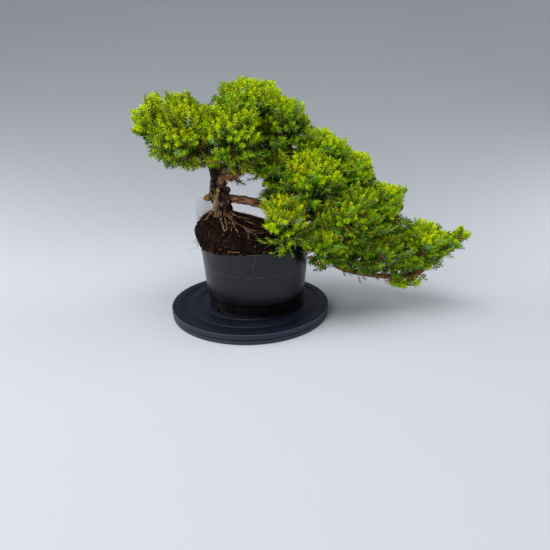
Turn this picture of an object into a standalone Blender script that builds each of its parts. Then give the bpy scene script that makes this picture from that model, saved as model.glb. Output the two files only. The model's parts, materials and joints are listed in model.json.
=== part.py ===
"""A juniper bonsai that cascades to one side, in a cut-down nursery pot on a turntable.

Metres, +Z up. The origin is the centre of the turntable's flat underside. The cascade runs towards +X, and
the front of the plant faces -Y. Sizes below are written in millimetres and turned into metres by MM.
"""

import math
import random

import bmesh
import bpy
from mathutils import Euler, Matrix, Vector, noise

MM = 0.001
GAP = 0.3 * MM  # between pieces that touch
UP = Vector((0, 0, 1))

# ---- turntable: two turned discs, the upper one ribbed ----
TABLE_RADIUS = 115 * MM
TABLE_HEIGHT = 13.6 * MM
BASE_RADIUS = 114.2 * MM
BASE_HEIGHT = 5.3 * MM
BEARING_RADIUS = 34 * MM
SLIT = 0.8 * MM  # the dark line between the two discs
RIB_EDGES = (0.891, 0.796, 0.692, 0.597)  # shares of the radius, from the rim inwards
RIB_DEPTH = 0.9 * MM
RIB_SLOPE = 1.0 * MM
EDGE_ROUND = 1.4 * MM
EDGE_SOFT = 0.7 * MM
TURN_STEPS = 40

# ---- pot: a thin plastic cone with a stepped foot, sawn off level ----
POT_AXIS = Vector((8.2, 2.0, 0)) * MM
POT_BASE = TABLE_HEIGHT + GAP
RIM_HEIGHT = 105.5 * MM
RIM_RADIUS = 77.0 * MM
WALL_FOOT_HEIGHT = 33 * MM
WALL_FOOT_RADIUS = 71.2 * MM
FOOT_TOP_HEIGHT = 29 * MM
FOOT_TOP_RADIUS = 69.4 * MM
FOOT_RADIUS = 68.4 * MM
WALL = 1.8 * MM
FLOOR = 2.4 * MM
SLOT_COUNT = 6
SLOT_SIZE = Vector((12, 17, 5)) * MM
SLOT_BITE = 3.6 * MM  # how far a slot reaches in from the foot's outside
SLOT_TURN = math.radians(-73)  # puts one slot at the front

# ---- root ball: fills the pot, stands up as a mound and hangs over the rim on the left ----
SEAT = Vector((-39, 2, 141.5)) * MM  # flat top that the trunk stands on
SEAT_RADIUS = 23 * MM
SOIL_GAP = 0.5 * MM  # between the soil and the pot's wall, whose facets cut inside its circle
HANG_TURN = math.radians(190)  # where the mound hangs over the rim the most
HANG_SPREAD = math.radians(115)
LIP_STARTS = 0.03  # share of the full overhang at which the soil has risen over the rim
RIM_COVER = 1.5 * MM  # how far the soil stands out past the rim it lies on
WAIST_RADIUS = 84 * MM
WAIST_HEIGHT = 124 * MM
SHOULDER_RADIUS = 74 * MM
SHOULDER_HEIGHT = 138 * MM
LOW_SIDE_HEIGHT = 107.5 * MM  # soil level on the side away from the mound
MOUND_SIDES = 28
MOUND_RINGS = 3
MOUND_BELLY = 0.12  # how far the mound's top swells, as a share of its fall
INNER_STEPS = (0.5 * MM, 3 * MM, 9 * MM)  # how far the levels of the low side stand in from the wall
LUMP = 2.2 * MM
LUMP_SIZE = 18 * MM
SHOULDER_LUMP = 0.6
ROOT_TURNS = (-158, -104, -82, -64, -42, -24)  # degrees round the seat
ROOT_SHARES = (0.03, 0.3, 0.62, 0.95)  # the points of a root, from the seat to the shoulder
ROOT_RADII = (2.4, 1.2)

# ---- plant label: a blank plastic tag pushed into the soil ----
LABEL_WIDTH = 24 * MM
LABEL_THICKNESS = 1.0 * MM
LABEL_TOP = 163 * MM
LABEL_SHOULDER = 128 * MM  # below this it tapers to its point
LABEL_POINT = 108 * MM
LABEL_PLACE = Vector((-64.5, 24, 0)) * MM
LABEL_TURN = math.radians(14)
LABEL_LEAN = math.radians(-8)
LABEL_CORNER = 4 * MM
LABEL_NOSE = Vector((2.5, 4)) * MM  # half width of the cut point, and how far up it starts

# ---- trunk and limbs: points in mm, and radii in mm at even steps from first to last ----
TRUNK_PATH = ((-36, 1, 138), (-37.5, 1, 153), (-40.5, 1, 168), (-42.5, 1, 183))
TRUNK_RADII = (13.8, 12.6, 12.4, 9.4)
FLARE_TURNS = (-165, -115, -60, -15, 40, 85, 130)  # degrees, where the root flare runs out
FLARE_STEPS = ((7, 20), (10, 8), (15, 0))  # how far out and how high, in mm, from the trunk's foot
FLARE_RADII = (3.5, 6)
STUB = ((-41, 0, 166), (-60.5, -3, 163.5))  # an old pruned branch, cut square
STUB_RADII = (7, 5.2)
KNOB = ((-38, -1, 175), (-26.5, -3, 173.5))
KNOB_RADII = (5.5, 3.8)
CUT_HEIGHT = SEAT.z + GAP

LIMBS = {
    # name: (what it springs from, its points in mm, radii in mm)
    "bough_left": (
        "trunk",
        ((-45, 3, 180), (-44.8, 5, 197), (-52, 8, 213), (-72, 6, 227), (-97, 1, 245)),
        (5.2, 6, 5, 4.2, 3.4),
    ),
    "bough_upper": (
        "trunk",
        ((-37, -3, 180), (-32.5, -3, 199), (-21, 3, 222), (-6, 6, 248)),
        (4.6, 5.3, 4.2, 3.2),
    ),
    "bough_low": (
        "trunk",
        ((-34, 0, 164), (-10, -2, 163), (20, -4, 156), (47, -4, 145)),
        (6.4, 5.6),
    ),
    "bough_cascade": (
        "bough_low",
        ((47.3, -4, 144.7), (74, -7, 128), (97, -11, 104), (116, -12, 80)),
        (5.6, 4.6),
    ),
    "bough_tail": (
        "bough_cascade",
        (
            (116.2, -12, 79.6),
            (134, -10, 65),
            (161, -6, 57),
            (192, -3, 51),
            (222, 0, 49),
            (249, 1, 57),
            (272, 0, 75),
        ),
        (4.6, 2.8),
    ),
    "bough_shoulder": (
        "bough_low",
        ((36, -4, 149), (48, 0, 172), (64, 3, 191), (86, 5, 210)),
        (4.2, 2.8),
    ),
    "bough_middle": (
        "bough_cascade",
        ((66, -6, 133), (98, -2, 141), (132, 1, 150), (162, 0, 151)),
        (4.0, 2.8),
    ),
}
SIDE_RADII = (2.9, 2.1)
SIDE_RISE = 0.08  # how far a side bough arches up, as a share of its length
TRUNK_SIDES = 12
LIMB_SIDES = 8
SIDE_LIMB_SIDES = 6
TRUNK_STEPS = 3  # stretches between one path point and the next
LIMB_STEPS = 2
ROOT_STEPS = 1
SLEEVE_SWELL = 1.3  # a sleeve's facets cut inside its circle, so it is this many gaps larger

# ---- foliage: each mass keeps to its own rounded-box space ----
MASSES = {
    # name: (limb that carries it, where on that limb, centre in mm, half sizes in mm)
    "left_outer": ("bough_left", 1.0, (-117, -4, 256), (31, 42, 42)),
    "left_front": ("bough_left", 0.50, (-72, -34, 244), (44, 38, 44)),
    "left_rear": ("bough_left", 0.66, (-86, 34, 264), (44, 38, 42)),
    "apex": ("bough_upper", 1.0, (6, 4, 284), (49, 46, 37)),
    "upper_front": ("bough_upper", 0.52, (-14, -40, 243), (40, 36, 42)),
    "upper_right": ("bough_upper", 0.86, (51, 4, 258), (36, 44, 41)),
    "upper_rear": ("bough_upper", 0.68, (2, 52, 256), (50, 36, 44)),
    "inner": ("bough_shoulder", 0.30, (38, -2, 200), (31, 40, 36)),
    "shoulder_top": ("bough_shoulder", 1.0, (102, 6, 222), (40, 44, 36)),
    "shoulder_front": ("bough_shoulder", 0.62, (86, -38, 190), (46, 38, 38)),
    "shoulder_rear": ("bough_shoulder", 0.78, (108, 48, 194), (52, 36, 40)),
    "shoulder_right": ("bough_middle", 0.62, (146, 4, 196), (31, 42, 35)),
    "middle_upper": ("bough_middle", 1.0, (188, 0, 150), (33, 42, 39)),
    "middle_front": ("bough_middle", 0.50, (130, -38, 142), (50, 38, 42)),
    "middle_rear": ("bough_middle", 0.56, (170, 46, 134), (56, 34, 46)),
    "middle_low": ("bough_cascade", 0.76, (98, -46, 106), (33, 32, 38)),
    "middle_under": ("bough_tail", 0.36, (174, -10, 93), (54, 38, 38)),
    "tail_upper": ("bough_tail", 0.78, (243, 0, 98), (37, 40, 38)),
    "tail_tip": ("bough_tail", 1.0, (290, 0, 101), (31, 28, 25)),
    "tail_under": ("bough_tail", 0.50, (227, -3, 40), (30, 24, 12)),
    "front_pad": ("bough_low", 0.84, (50, -56, 140), (34, 32, 41)),
}
BOXINESS = 2.4  # 2 is an ellipsoid; more fills the corners
CORE_SHARE = 0.66  # how far the dense inside of a mass reaches, as a share of its space
CORE_ROUGHNESS = 0.16
TUFTED = 0.75  # share of the core's facets that are drawn out to a tuft
TUFT_LENGTHS = (0.135, 0.33)  # how far the tufts stand out of the core
TUFT_LEAN = 0.30  # how far the tufts turn up, and how far astray
TUFT_STRAY = 0.22
BOUGH_ENTRY = 0.80  # a bough ends this far out in the space of its mass
SHORTEST_BOUGH = 15 * MM
LEAST_SHARE = 0.1  # the core is drawn in from its neighbours to this share of its space at most
SHARE_STEP = 0.02
SPACE_MARGIN = 0.04  # kept from a neighbouring space, as a share of its size
CORE_MARGIN = 0.08
SPRAYS_ON_BIG_MASS = 11
SPRAYS_ON_SMALL_MASS = 9
SMALL_MASS = 30 * MM  # mean half size that still counts as small
SPRAY_ROOT = 0.45
SPRAY_WHORL = 0.62  # where on the shoot its needles stand out
SPRAY_REACH = 0.97
SPRAY_DROOP = 0.12  # how far the shoots' roots lie below the straight line, so that they turn up
SPRAY_STRAY = 0.16
SPRAY_CHECKS = (0.4, 0.55, 0.85)  # shares of a shoot that have to be clear of wood
SPRAY_RADII = (1.6 * MM, 2.7 * MM)
NEEDLE_OUT = 7.6 * MM
NEEDLE_UP = 3.2 * MM
LIMB_CLEARANCE = 1.0 * MM
POT_CLEARANCE = 2.0 * MM
LIMB_REACH = 90 * MM  # a limb further than this from a mass's centre can't touch it
STEM_COLLAR = 3 * MM  # a mass's stem runs on straight from its bough this far
STEM_SHARE = 0.75  # how far the stem goes towards the middle of the mass
STEM_TAPER = 0.8
FOLIAGE_SHARP = 25  # degrees between faces from which an edge is shaded sharp
SHARP = 40
SEED = 42

COLOURS = {
    # name: (base colour, roughness)
    "bark": ((0.115, 0.062, 0.036), 0.85),
    "foliage": ((0.170, 0.300, 0.020), 0.60),
    "pot_plastic": ((0.020, 0.022, 0.026), 0.50),
    "table_plastic": ((0.014, 0.018, 0.027), 0.32),
    "soil": ((0.028, 0.015, 0.010), 0.95),
    "label_plastic": ((0.780, 0.800, 0.820), 0.40),
}


# ---- scene and mesh helpers ----


def clear_scene():
    for item in list(bpy.data.objects):
        bpy.data.objects.remove(item, do_unlink=True)


def make_material(name):
    colour, roughness = COLOURS[name]
    material = bpy.data.materials.new(name)
    material.use_nodes = True
    shader = material.node_tree.nodes["Principled BSDF"]
    shader.inputs["Base Color"].default_value = (*colour, 1)
    shader.inputs["Roughness"].default_value = roughness
    material.diffuse_color = (*colour, 1)
    return material


def add_collection(name):
    collection = bpy.data.collections.new(name)
    bpy.context.scene.collection.children.link(collection)
    return collection


def add_object(name, mesh, collection, material=None):
    if material:
        mesh.materials.clear()
        mesh.materials.append(material)
    item = bpy.data.objects.new(name, mesh)
    collection.objects.link(item)
    return item


def object_from_bmesh(name, bm, collection, material=None):
    bmesh.ops.recalc_face_normals(bm, faces=bm.faces)
    if bm.calc_volume(signed=True) < 0:
        bmesh.ops.reverse_faces(bm, faces=bm.faces)
    mesh = bpy.data.meshes.new(name)
    bm.to_mesh(mesh)
    bm.free()
    return add_object(name, mesh, collection, material)


def evaluated_mesh(item):
    bpy.context.view_layer.update()
    return bpy.data.meshes.new_from_object(item.evaluated_get(bpy.context.evaluated_depsgraph_get()))


def freeze(item):
    """Puts the evaluated mesh in place of an object's own mesh and modifiers."""
    mesh = evaluated_mesh(item)
    item.modifiers.clear()
    item.data = mesh


def combine(item, others, operation):
    """One Boolean with a whole collection, applied. The collection and its objects are then removed."""
    boolean = item.modifiers.new(operation.lower(), "BOOLEAN")
    boolean.operation = operation
    boolean.operand_type = "COLLECTION"
    boolean.collection = others
    boolean.solver = "MANIFOLD"
    freeze(item)
    for other in list(others.objects):
        bpy.data.objects.remove(other, do_unlink=True)
    bpy.data.collections.remove(others)


def keep_largest(item):
    """Drops the loose scraps and the sealed hollows that a Boolean left."""
    bm = bmesh.new()
    bm.from_mesh(item.data)
    unseen = set(bm.faces)
    shells = []
    while unseen:
        shell = [unseen.pop()]
        for face in shell:
            for edge in face.edges:
                for other in edge.link_faces:
                    if other in unseen:
                        unseen.discard(other)
                        shell.append(other)
        shells.append(shell)
    shells.sort(key=len)
    for scrap in shells[:-1]:
        bmesh.ops.delete(bm, geom=scrap, context="FACES")
    bm.to_mesh(item.data)
    bm.free()


def shade(item, angle=SHARP):
    item.data.shade_smooth()
    item.data.set_sharp_from_angle(angle=math.radians(angle))


def turned(name, profile, centre, collection, material, steps=TURN_STEPS):
    """A closed profile of (radius, height) points, from the axis down the outer side, turned about Z."""
    bm = bmesh.new()
    vertices = [bm.verts.new((radius, 0, height)) for radius, height in profile]
    for first, second in zip(vertices[:-1], vertices[1:]):
        bm.edges.new((first, second))
    mesh = bpy.data.meshes.new(name)
    bm.to_mesh(mesh)
    bm.free()
    item = add_object(name, mesh, collection, material)
    item.location = centre
    screw = item.modifiers.new("turn", "SCREW")
    screw.steps = steps
    screw.render_steps = steps
    screw.use_merge_vertices = True
    screw.merge_threshold = 0.01 * MM
    freeze(item)
    shade(item)
    return item


# ---- limbs ----


def smooth_path(points, steps):
    """A Catmull-Rom curve through the points, with so many stretches between each two of them."""
    knots = [Vector(point) for point in points]
    knots = [knots[0] * 2 - knots[1], *knots, knots[-1] * 2 - knots[-2]]
    path = []
    for before, start, end, after in zip(knots, knots[1:], knots[2:], knots[3:]):
        for step in range(steps):
            t = step / steps
            path.append(
                0.5
                * (
                    2 * start
                    + (end - before) * t
                    + (2 * before - 5 * start + 4 * end - after) * t**2
                    + (3 * start - before - 3 * end + after) * t**3
                )
            )
    path.append(knots[-2])
    return path


def radius_at(radii, share):
    """The radius at a share of a limb, read between the two of its radii on either side."""
    steps = share * (len(radii) - 1)
    before = min(int(steps), len(radii) - 2)
    return radii[before] + (radii[before + 1] - radii[before]) * (steps - before)


def limb_line(points, radii, steps=LIMB_STEPS):
    """Centre points and radii along a limb, in metres."""
    path = [point * MM for point in smooth_path(points, steps)]
    last = len(path) - 1
    return [(point, radius_at(radii, index / last) * MM) for index, point in enumerate(path)]


def point_on(line, share):
    """The centre point at a share of a limb's length."""
    lengths = [(second[0] - first[0]).length for first, second in zip(line[:-1], line[1:])]
    left = share * sum(lengths)
    for (first, _), (second, _), length in zip(line[:-1], line[1:], lengths):
        if left <= length:
            return first.lerp(second, left / length)
        left -= length
    return line[-1][0].copy()


def tube(name, line, collection, sides=LIMB_SIDES, swell=0.0, material=None):
    """A closed tube round a limb's line: a bevelled curve made a mesh, with its caps welded on."""
    curve = bpy.data.curves.new(name, "CURVE")
    curve.dimensions = "3D"
    curve.bevel_depth = 1
    curve.bevel_resolution = sides // 2 - 2
    curve.use_fill_caps = True
    spline = curve.splines.new("POLY")
    spline.points.add(len(line) - 1)
    for knot, (point, radius) in zip(spline.points, line):
        knot.co = (*point, 1)
        knot.radius = radius + swell
    return welded(name, curve, collection, material)


def welded(name, curve, collection, material):
    """A closed mesh object in place of a curve."""
    guide = bpy.data.objects.new(name + " curve", curve)
    collection.objects.link(guide)
    mesh = evaluated_mesh(guide)
    bpy.data.objects.remove(guide, do_unlink=True)
    bm = bmesh.new()
    bm.from_mesh(mesh)
    bmesh.ops.remove_doubles(bm, verts=bm.verts, dist=0.001 * MM)
    return object_from_bmesh(name, bm, collection, material)


def sleeve(line, collection, swell):
    """A limb's tube made larger, to cut its neighbours clear of it."""
    return tube("sleeve", line, collection, swell=swell)


def trunk_line():
    return limb_line(TRUNK_PATH, TRUNK_RADII, TRUNK_STEPS)


def trunk_pieces(collection, swell=0.0):
    """The trunk's stem, root flare, pruned stub and knob, overlapping."""
    foot = Vector(TRUNK_PATH[0])
    tube("stem", trunk_line(), collection, TRUNK_SIDES, swell)
    for degrees in FLARE_TURNS:
        turn = math.radians(degrees)
        out = Vector((math.cos(turn), math.sin(turn), 0))
        points = [foot + out * reach + UP * rise for reach, rise in FLARE_STEPS]
        tube("flare", limb_line(points, FLARE_RADII), collection, LIMB_SIDES, swell)
    tube("stub", limb_line(STUB, STUB_RADII), collection, LIMB_SIDES, swell)
    tube("knob", limb_line(KNOB, KNOB_RADII), collection, LIMB_SIDES, swell)


def cut_below(item, height):
    """Cuts a mesh flat at a height and closes it."""
    bm = bmesh.new()
    bm.from_mesh(item.data)
    geometry = bm.verts[:] + bm.edges[:] + bm.faces[:]
    place, down = (0, 0, height), (0, 0, -1)
    cut = bmesh.ops.bisect_plane(bm, geom=geometry, plane_co=place, plane_no=down, clear_outer=True)
    edges = [piece for piece in cut["geom_cut"] if isinstance(piece, bmesh.types.BMEdge)]
    bmesh.ops.holes_fill(bm, edges=edges, sides=0)
    bm.to_mesh(item.data)
    bm.free()


def make_trunk(parts, bark):
    pieces = add_collection("trunk pieces")
    trunk_pieces(pieces)
    stem = pieces.objects[0]
    trunk = add_object("trunk", stem.data.copy(), parts, bark)
    bpy.data.objects.remove(stem, do_unlink=True)
    combine(trunk, pieces, "UNION")
    cut_below(trunk, CUT_HEIGHT)
    keep_largest(trunk)
    shade(trunk)
    return trunk


def side_limb(mass_name, lines):
    """The side bough that leads from its parent limb to a mass, and stops as it enters the mass's space."""
    parent, share, _, _ = MASSES[mass_name]
    start = point_on(lines[parent], share)
    centre = mass_centre(mass_name)
    reach = 1.0
    shortest = SHORTEST_BOUGH / (centre - start).length
    while reach > shortest and space_norm(mass_name, start.lerp(centre, reach)) < BOUGH_ENTRY:
        reach -= SHARE_STEP / 2
    end = start.lerp(centre, reach)
    rise = UP * (end - start).length * SIDE_RISE
    points = [start / MM, (start.lerp(end, 0.5) + rise) / MM, end / MM]
    return limb_line(points, SIDE_RADII)


def plan_limbs():
    """Every limb's line and what it springs from. A mass on a limb's tip needs no side bough."""
    lines = {name: limb_line(points, radii) for name, (_, points, radii) in LIMBS.items()}
    parents = {name: parent for name, (parent, _, _) in LIMBS.items()}
    carriers = {}
    for mass_name, (parent, share, _, _) in MASSES.items():
        if share == 1.0:
            carriers[mass_name] = parent
            continue
        name = "side_bough_" + mass_name
        lines[name] = side_limb(mass_name, lines)
        parents[name] = parent
        carriers[mass_name] = name
    return lines, parents, carriers


def make_limbs(lines, parents, parts, bark):
    """Each limb as its own object, its foot cut clear of what it springs from."""
    for name, line in lines.items():
        limb = tube(name, line, parts, LIMB_SIDES if name in LIMBS else SIDE_LIMB_SIDES, material=bark)
        cutters = add_collection("cutters for " + name)
        if parents[name] == "trunk":
            trunk_pieces(cutters, GAP)
        else:
            sleeve(lines[parents[name]], cutters, GAP * SLEEVE_SWELL)
        combine(limb, cutters, "DIFFERENCE")
        keep_largest(limb)
        shade(limb)


# ---- foliage ----


def mass_centre(name):
    return Vector(MASSES[name][2]) * MM


def space_norm(name, point):
    """0 at the middle of a mass's space and 1 on its surface."""
    centre, half = mass_centre(name), MASSES[name][3]
    offset = point - centre
    return sum(abs(offset[axis] / (half[axis] * MM)) ** BOXINESS for axis in range(3)) ** (1 / BOXINESS)


def space_holds(name, point, margin):
    """Whether a point is inside a mass's space and nearer to it than to any neighbouring space."""
    own = space_norm(name, point)
    if own > 1:
        return False
    return all(space_norm(other, point) > own + margin for other in MASSES if other != name)


def limb_distance(point, line):
    """From a point to a limb's surface."""
    nearest = math.inf
    for (first, start_radius), (second, end_radius) in zip(line[:-1], line[1:]):
        along = second - first
        share = min(max((point - first).dot(along) / along.length_squared, 0), 1)
        radius = start_radius + (end_radius - start_radius) * share
        nearest = min(nearest, (point - first - along * share).length - radius)
    return nearest


def pot_distance(point):
    """Roughly from a point to the pot and the root ball: the height over them, or how far past the rim."""
    outward = (point - POT_AXIS).to_2d().length - RIM_RADIUS
    return max(outward, point.z - soil_height(point))


def free_of_wood(point, wood):
    """Whether a point keeps its distance from the wood, the pot and the soil."""
    if pot_distance(point) < POT_CLEARANCE:
        return False
    return all(limb_distance(point, line) > LIMB_CLEARANCE for line in wood)


def mass_core(name, collection, material):
    """The dense inside of a mass: a rough ball within its space, most facets drawn out to a tuft."""
    centre = mass_centre(name)
    half = Vector(MASSES[name][3]) * MM
    draws = random.Random(f"{SEED} core {name}")

    def place(direction, share, margin):
        """The point out towards a share of the space, or as far as the mass may fill."""
        offset = Vector(direction[axis] * half[axis] for axis in range(3))
        offset /= space_norm(name, centre + offset)
        while share > LEAST_SHARE:
            point = centre + offset * share
            if space_holds(name, point, margin) and pot_distance(point) > POT_CLEARANCE:
                break
            share -= SHARE_STEP
        return centre + offset * share

    bm = bmesh.new()
    bmesh.ops.create_icosphere(bm, subdivisions=2, radius=1)
    spin = Euler([draws.uniform(0, math.tau) for _ in range(3)]).to_matrix()
    bmesh.ops.rotate(bm, verts=bm.verts, matrix=spin)
    tufted = [face for face in bm.faces if draws.random() < TUFTED]
    tufts = set(bmesh.ops.poke(bm, faces=tufted)["verts"])
    for vertex in bm.verts:
        direction = vertex.co.normalized()
        if vertex in tufts:
            stray = Vector(draws.uniform(-TUFT_STRAY, TUFT_STRAY) for _ in range(3))
            direction = (direction + UP * TUFT_LEAN * (1 - abs(direction.z)) + stray).normalized()
            vertex.co = place(direction, CORE_SHARE + draws.uniform(*TUFT_LENGTHS), SPACE_MARGIN)
        else:
            share = CORE_SHARE * (1 - draws.uniform(0, CORE_ROUGHNESS))
            vertex.co = place(direction, share, CORE_MARGIN)
    return object_from_bmesh("foliage_" + name, bm, collection, material)


def spray(root, tip, turn, collection):
    """A slim shoot of three sides, with a whorl of needles standing out below its tip."""
    length = (tip - root).length
    whorl = length * SPRAY_WHORL
    bm = bmesh.new()
    lower, upper = SPRAY_RADII
    middle = Matrix.Translation((0, 0, whorl / 2))
    bmesh.ops.create_cone(
        bm, cap_ends=True, segments=3, radius1=lower, radius2=upper, depth=whorl, matrix=middle
    )
    top = max(bm.faces, key=lambda face: face.calc_center_median().z)
    peak = bmesh.ops.poke(bm, faces=[top])["verts"][0]
    peak.co.z = length
    needles = bmesh.ops.poke(bm, faces=list(peak.link_faces))["verts"]
    for needle in needles:
        needle.co += Vector((*needle.co.xy.normalized() * NEEDLE_OUT, NEEDLE_UP))
    bend = (tip - root).to_track_quat("Z", "Y").to_matrix().to_4x4()
    bm.transform(Matrix.Translation(root) @ bend @ Matrix.Rotation(turn, 4, "Z"))
    needle_tips = [needle.co.copy() for needle in needles]
    return object_from_bmesh("spray", bm, collection), needle_tips


def spray_directions(count, draws):
    """Directions spread evenly over a sphere, each a little astray, in a mixed order."""
    golden = math.pi * (3 - math.sqrt(5))
    directions = []
    for index in range(count):
        height = 1 - 2 * (index + 0.5) / count
        radius = math.sqrt(1 - height * height)
        even = Vector((radius * math.cos(golden * index), radius * math.sin(golden * index), height))
        stray = Vector(draws.uniform(-SPRAY_STRAY, SPRAY_STRAY) for _ in range(3))
        directions.append((even + stray).normalized())
    draws.shuffle(directions)
    return directions


def add_sprays(name, wood, collection):
    """Shoots that branch from the middle of the mass and end at the surface of its space."""
    centre = mass_centre(name)
    half = Vector(MASSES[name][3]) * MM
    draws = random.Random(f"{SEED} sprays {name}")
    small = sum(half) / 3 < SMALL_MASS
    wanted = SPRAYS_ON_SMALL_MASS if small else SPRAYS_ON_BIG_MASS
    made = 0
    for direction in spray_directions(wanted * 4, draws):
        if made == wanted:
            break
        offset = Vector(direction[axis] * half[axis] for axis in range(3))
        tip = centre + offset / space_norm(name, centre + offset) * SPRAY_REACH
        root = centre.lerp(tip, SPRAY_ROOT) - UP * (tip - centre).length * SPRAY_DROOP
        item, needle_tips = spray(root, tip, draws.uniform(0, math.tau), collection)
        outer = [tip, *needle_tips, root.lerp(tip, SPRAY_WHORL)]
        checked = outer + [root.lerp(tip, share) for share in SPRAY_CHECKS]
        inside = all(space_holds(name, point, SPACE_MARGIN) for point in outer)
        rooted = space_holds(name, root, CORE_MARGIN)
        if inside and rooted and all(free_of_wood(point, wood) for point in checked):
            made += 1
        else:
            bpy.data.objects.remove(item, do_unlink=True)


def stem_line(name, carrier_line):
    """A mass's stem: straight on from its bough's tip, then to the middle of the mass."""
    (before, _), (tip, radius) = carrier_line[-2:]
    along = (tip - before).normalized()
    start = tip + along * GAP
    end = start.lerp(mass_centre(name), STEM_SHARE)
    return [(start, radius), (start + along * STEM_COLLAR, radius), (end, radius * STEM_TAPER)]


def make_mass(name, wood, parts, material):
    """One foliage mass: its core with the stem and sprays fused on, cut clear of other wood that passes."""
    mass = mass_core(name, parts, material)
    centre = mass_centre(name)
    others = [line for piece, line in wood.items() if piece != name]
    pieces = add_collection("pieces of " + name)
    tube("stem", wood[name], pieces, SIDE_LIMB_SIDES)
    add_sprays(name, others, pieces)
    combine(mass, pieces, "UNION")
    cutters = add_collection("cutters for " + name)
    for line in others:
        if min((point - centre).length for point, _ in line) < LIMB_REACH:
            sleeve(line, cutters, LIMB_CLEARANCE / 2)
    combine(mass, cutters, "DIFFERENCE")
    keep_largest(mass)
    shade(mass, FOLIAGE_SHARP)


# ---- pot, root ball, label, turntable ----


def pot_profile():
    """Radius and height of the pot's outer side, top to bottom."""
    return [
        (RIM_RADIUS, RIM_HEIGHT),
        (WALL_FOOT_RADIUS, WALL_FOOT_HEIGHT),
        (FOOT_TOP_RADIUS, FOOT_TOP_HEIGHT),
        (FOOT_RADIUS, POT_BASE),
    ]


def make_pot(parts, material):
    outer = pot_profile()
    inner = [(radius - WALL, height) for radius, height in outer[:-1]]
    inner.append((FOOT_RADIUS - WALL, POT_BASE + FLOOR))
    profile = [(0, POT_BASE + FLOOR), *reversed(inner), *outer, (0, POT_BASE)]
    pot = turned("pot", profile, POT_AXIS, parts, material)
    cutters = add_collection("drain slots")
    for index in range(SLOT_COUNT):
        turn = SLOT_TURN + math.tau * index / SLOT_COUNT
        bm = bmesh.new()
        bmesh.ops.create_cube(bm, size=1)
        for vertex in bm.verts:
            vertex.co = Vector(vertex.co[axis] * SLOT_SIZE[axis] for axis in range(3))
        slot = object_from_bmesh("slot", bm, cutters)
        reach = FOOT_RADIUS + SLOT_SIZE.x / 2 - SLOT_BITE
        slot.location = POT_AXIS + Vector((math.cos(turn), math.sin(turn), 0)) * reach + UP * POT_BASE
        slot.rotation_euler.z = turn
        freeze_place(slot)
    combine(pot, cutters, "DIFFERENCE")
    shade(pot)
    return pot


def freeze_place(item):
    """Moves an object's place and turn into its mesh."""
    bpy.context.view_layer.update()
    item.data.transform(item.matrix_world)
    item.matrix_world.identity()
    item.location = (0, 0, 0)
    item.rotation_euler = (0, 0, 0)


def hang(turn):
    """How far the mound hangs over the rim, from 0 to 1, by the direction from the pot's axis."""
    away = abs((turn - HANG_TURN + math.pi) % math.tau - math.pi)
    share = max(0.0, 1 - away / HANG_SPREAD)
    return share * share * (3 - 2 * share)


def blend(low, high, share):
    return low + (high - low) * share


def mound_side(turn):
    """Points up the mound's side in one direction: inside the rim, over it, at the waist, at the shoulder."""
    share = hang(turn)
    lip = min(1, share / LIP_STARTS)
    inner = RIM_RADIUS - WALL - SOIL_GAP
    over_rim = RIM_HEIGHT + 2 * GAP
    edge, waist, shoulder = INNER_STEPS
    levels = (
        (inner, blend(RIM_HEIGHT - 2 * MM, over_rim, lip)),
        (blend(inner - edge, RIM_RADIUS + RIM_COVER, share), blend(RIM_HEIGHT - 1.5 * MM, over_rim, lip)),
        (blend(inner - waist, WAIST_RADIUS, share), blend(LOW_SIDE_HEIGHT - 1 * MM, WAIST_HEIGHT, share)),
        (blend(inner - shoulder, SHOULDER_RADIUS, share), blend(LOW_SIDE_HEIGHT, SHOULDER_HEIGHT, share)),
    )
    out = Vector((math.cos(turn), math.sin(turn), 0))
    return [POT_AXIS + out * radius + UP * height for radius, height in levels]


def mound_point(turn, share):
    """A point on top of the mound: share 0 is the edge of the trunk's seat and 1 the shoulder."""
    out = Vector((math.cos(turn), math.sin(turn), 0))
    seat_edge = SEAT + out * SEAT_RADIUS
    shoulder = mound_side(turn)[-1]
    point = seat_edge.lerp(shoulder, share)
    belly = math.sin(math.pi * share) * (seat_edge.z - shoulder.z) * MOUND_BELLY
    return point + UP * belly


def soil_height(point):
    """The height of the soil's top under a point inside the pot's rim."""
    flat = Vector((point.x, point.y, 0))
    offset = flat - Vector((SEAT.x, SEAT.y, 0))
    reach = offset.length
    if reach < SEAT_RADIUS:
        return SEAT.z
    turn = math.atan2(offset.y, offset.x)
    far = mound_point(turn, 1)
    span = (Vector((far.x, far.y, 0)) - Vector((SEAT.x, SEAT.y, 0))).length - SEAT_RADIUS
    share = min(max((reach - SEAT_RADIUS) / span, 0), 1)
    return mound_point(turn, share).z


def loft(name, rings, collection, material):
    """A closed mesh through rings of equal count, with a cap on the first and last."""
    bm = bmesh.new()
    levels = [[bm.verts.new(point) for point in ring] for ring in rings]
    count = len(rings[0])
    for lower, upper in zip(levels[:-1], levels[1:]):
        for step in range(count):
            after = (step + 1) % count
            bm.faces.new((lower[step], lower[after], upper[after], upper[step]))
    bm.faces.new(levels[0])
    bm.faces.new(levels[-1])
    return object_from_bmesh(name, bm, collection, material)


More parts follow.
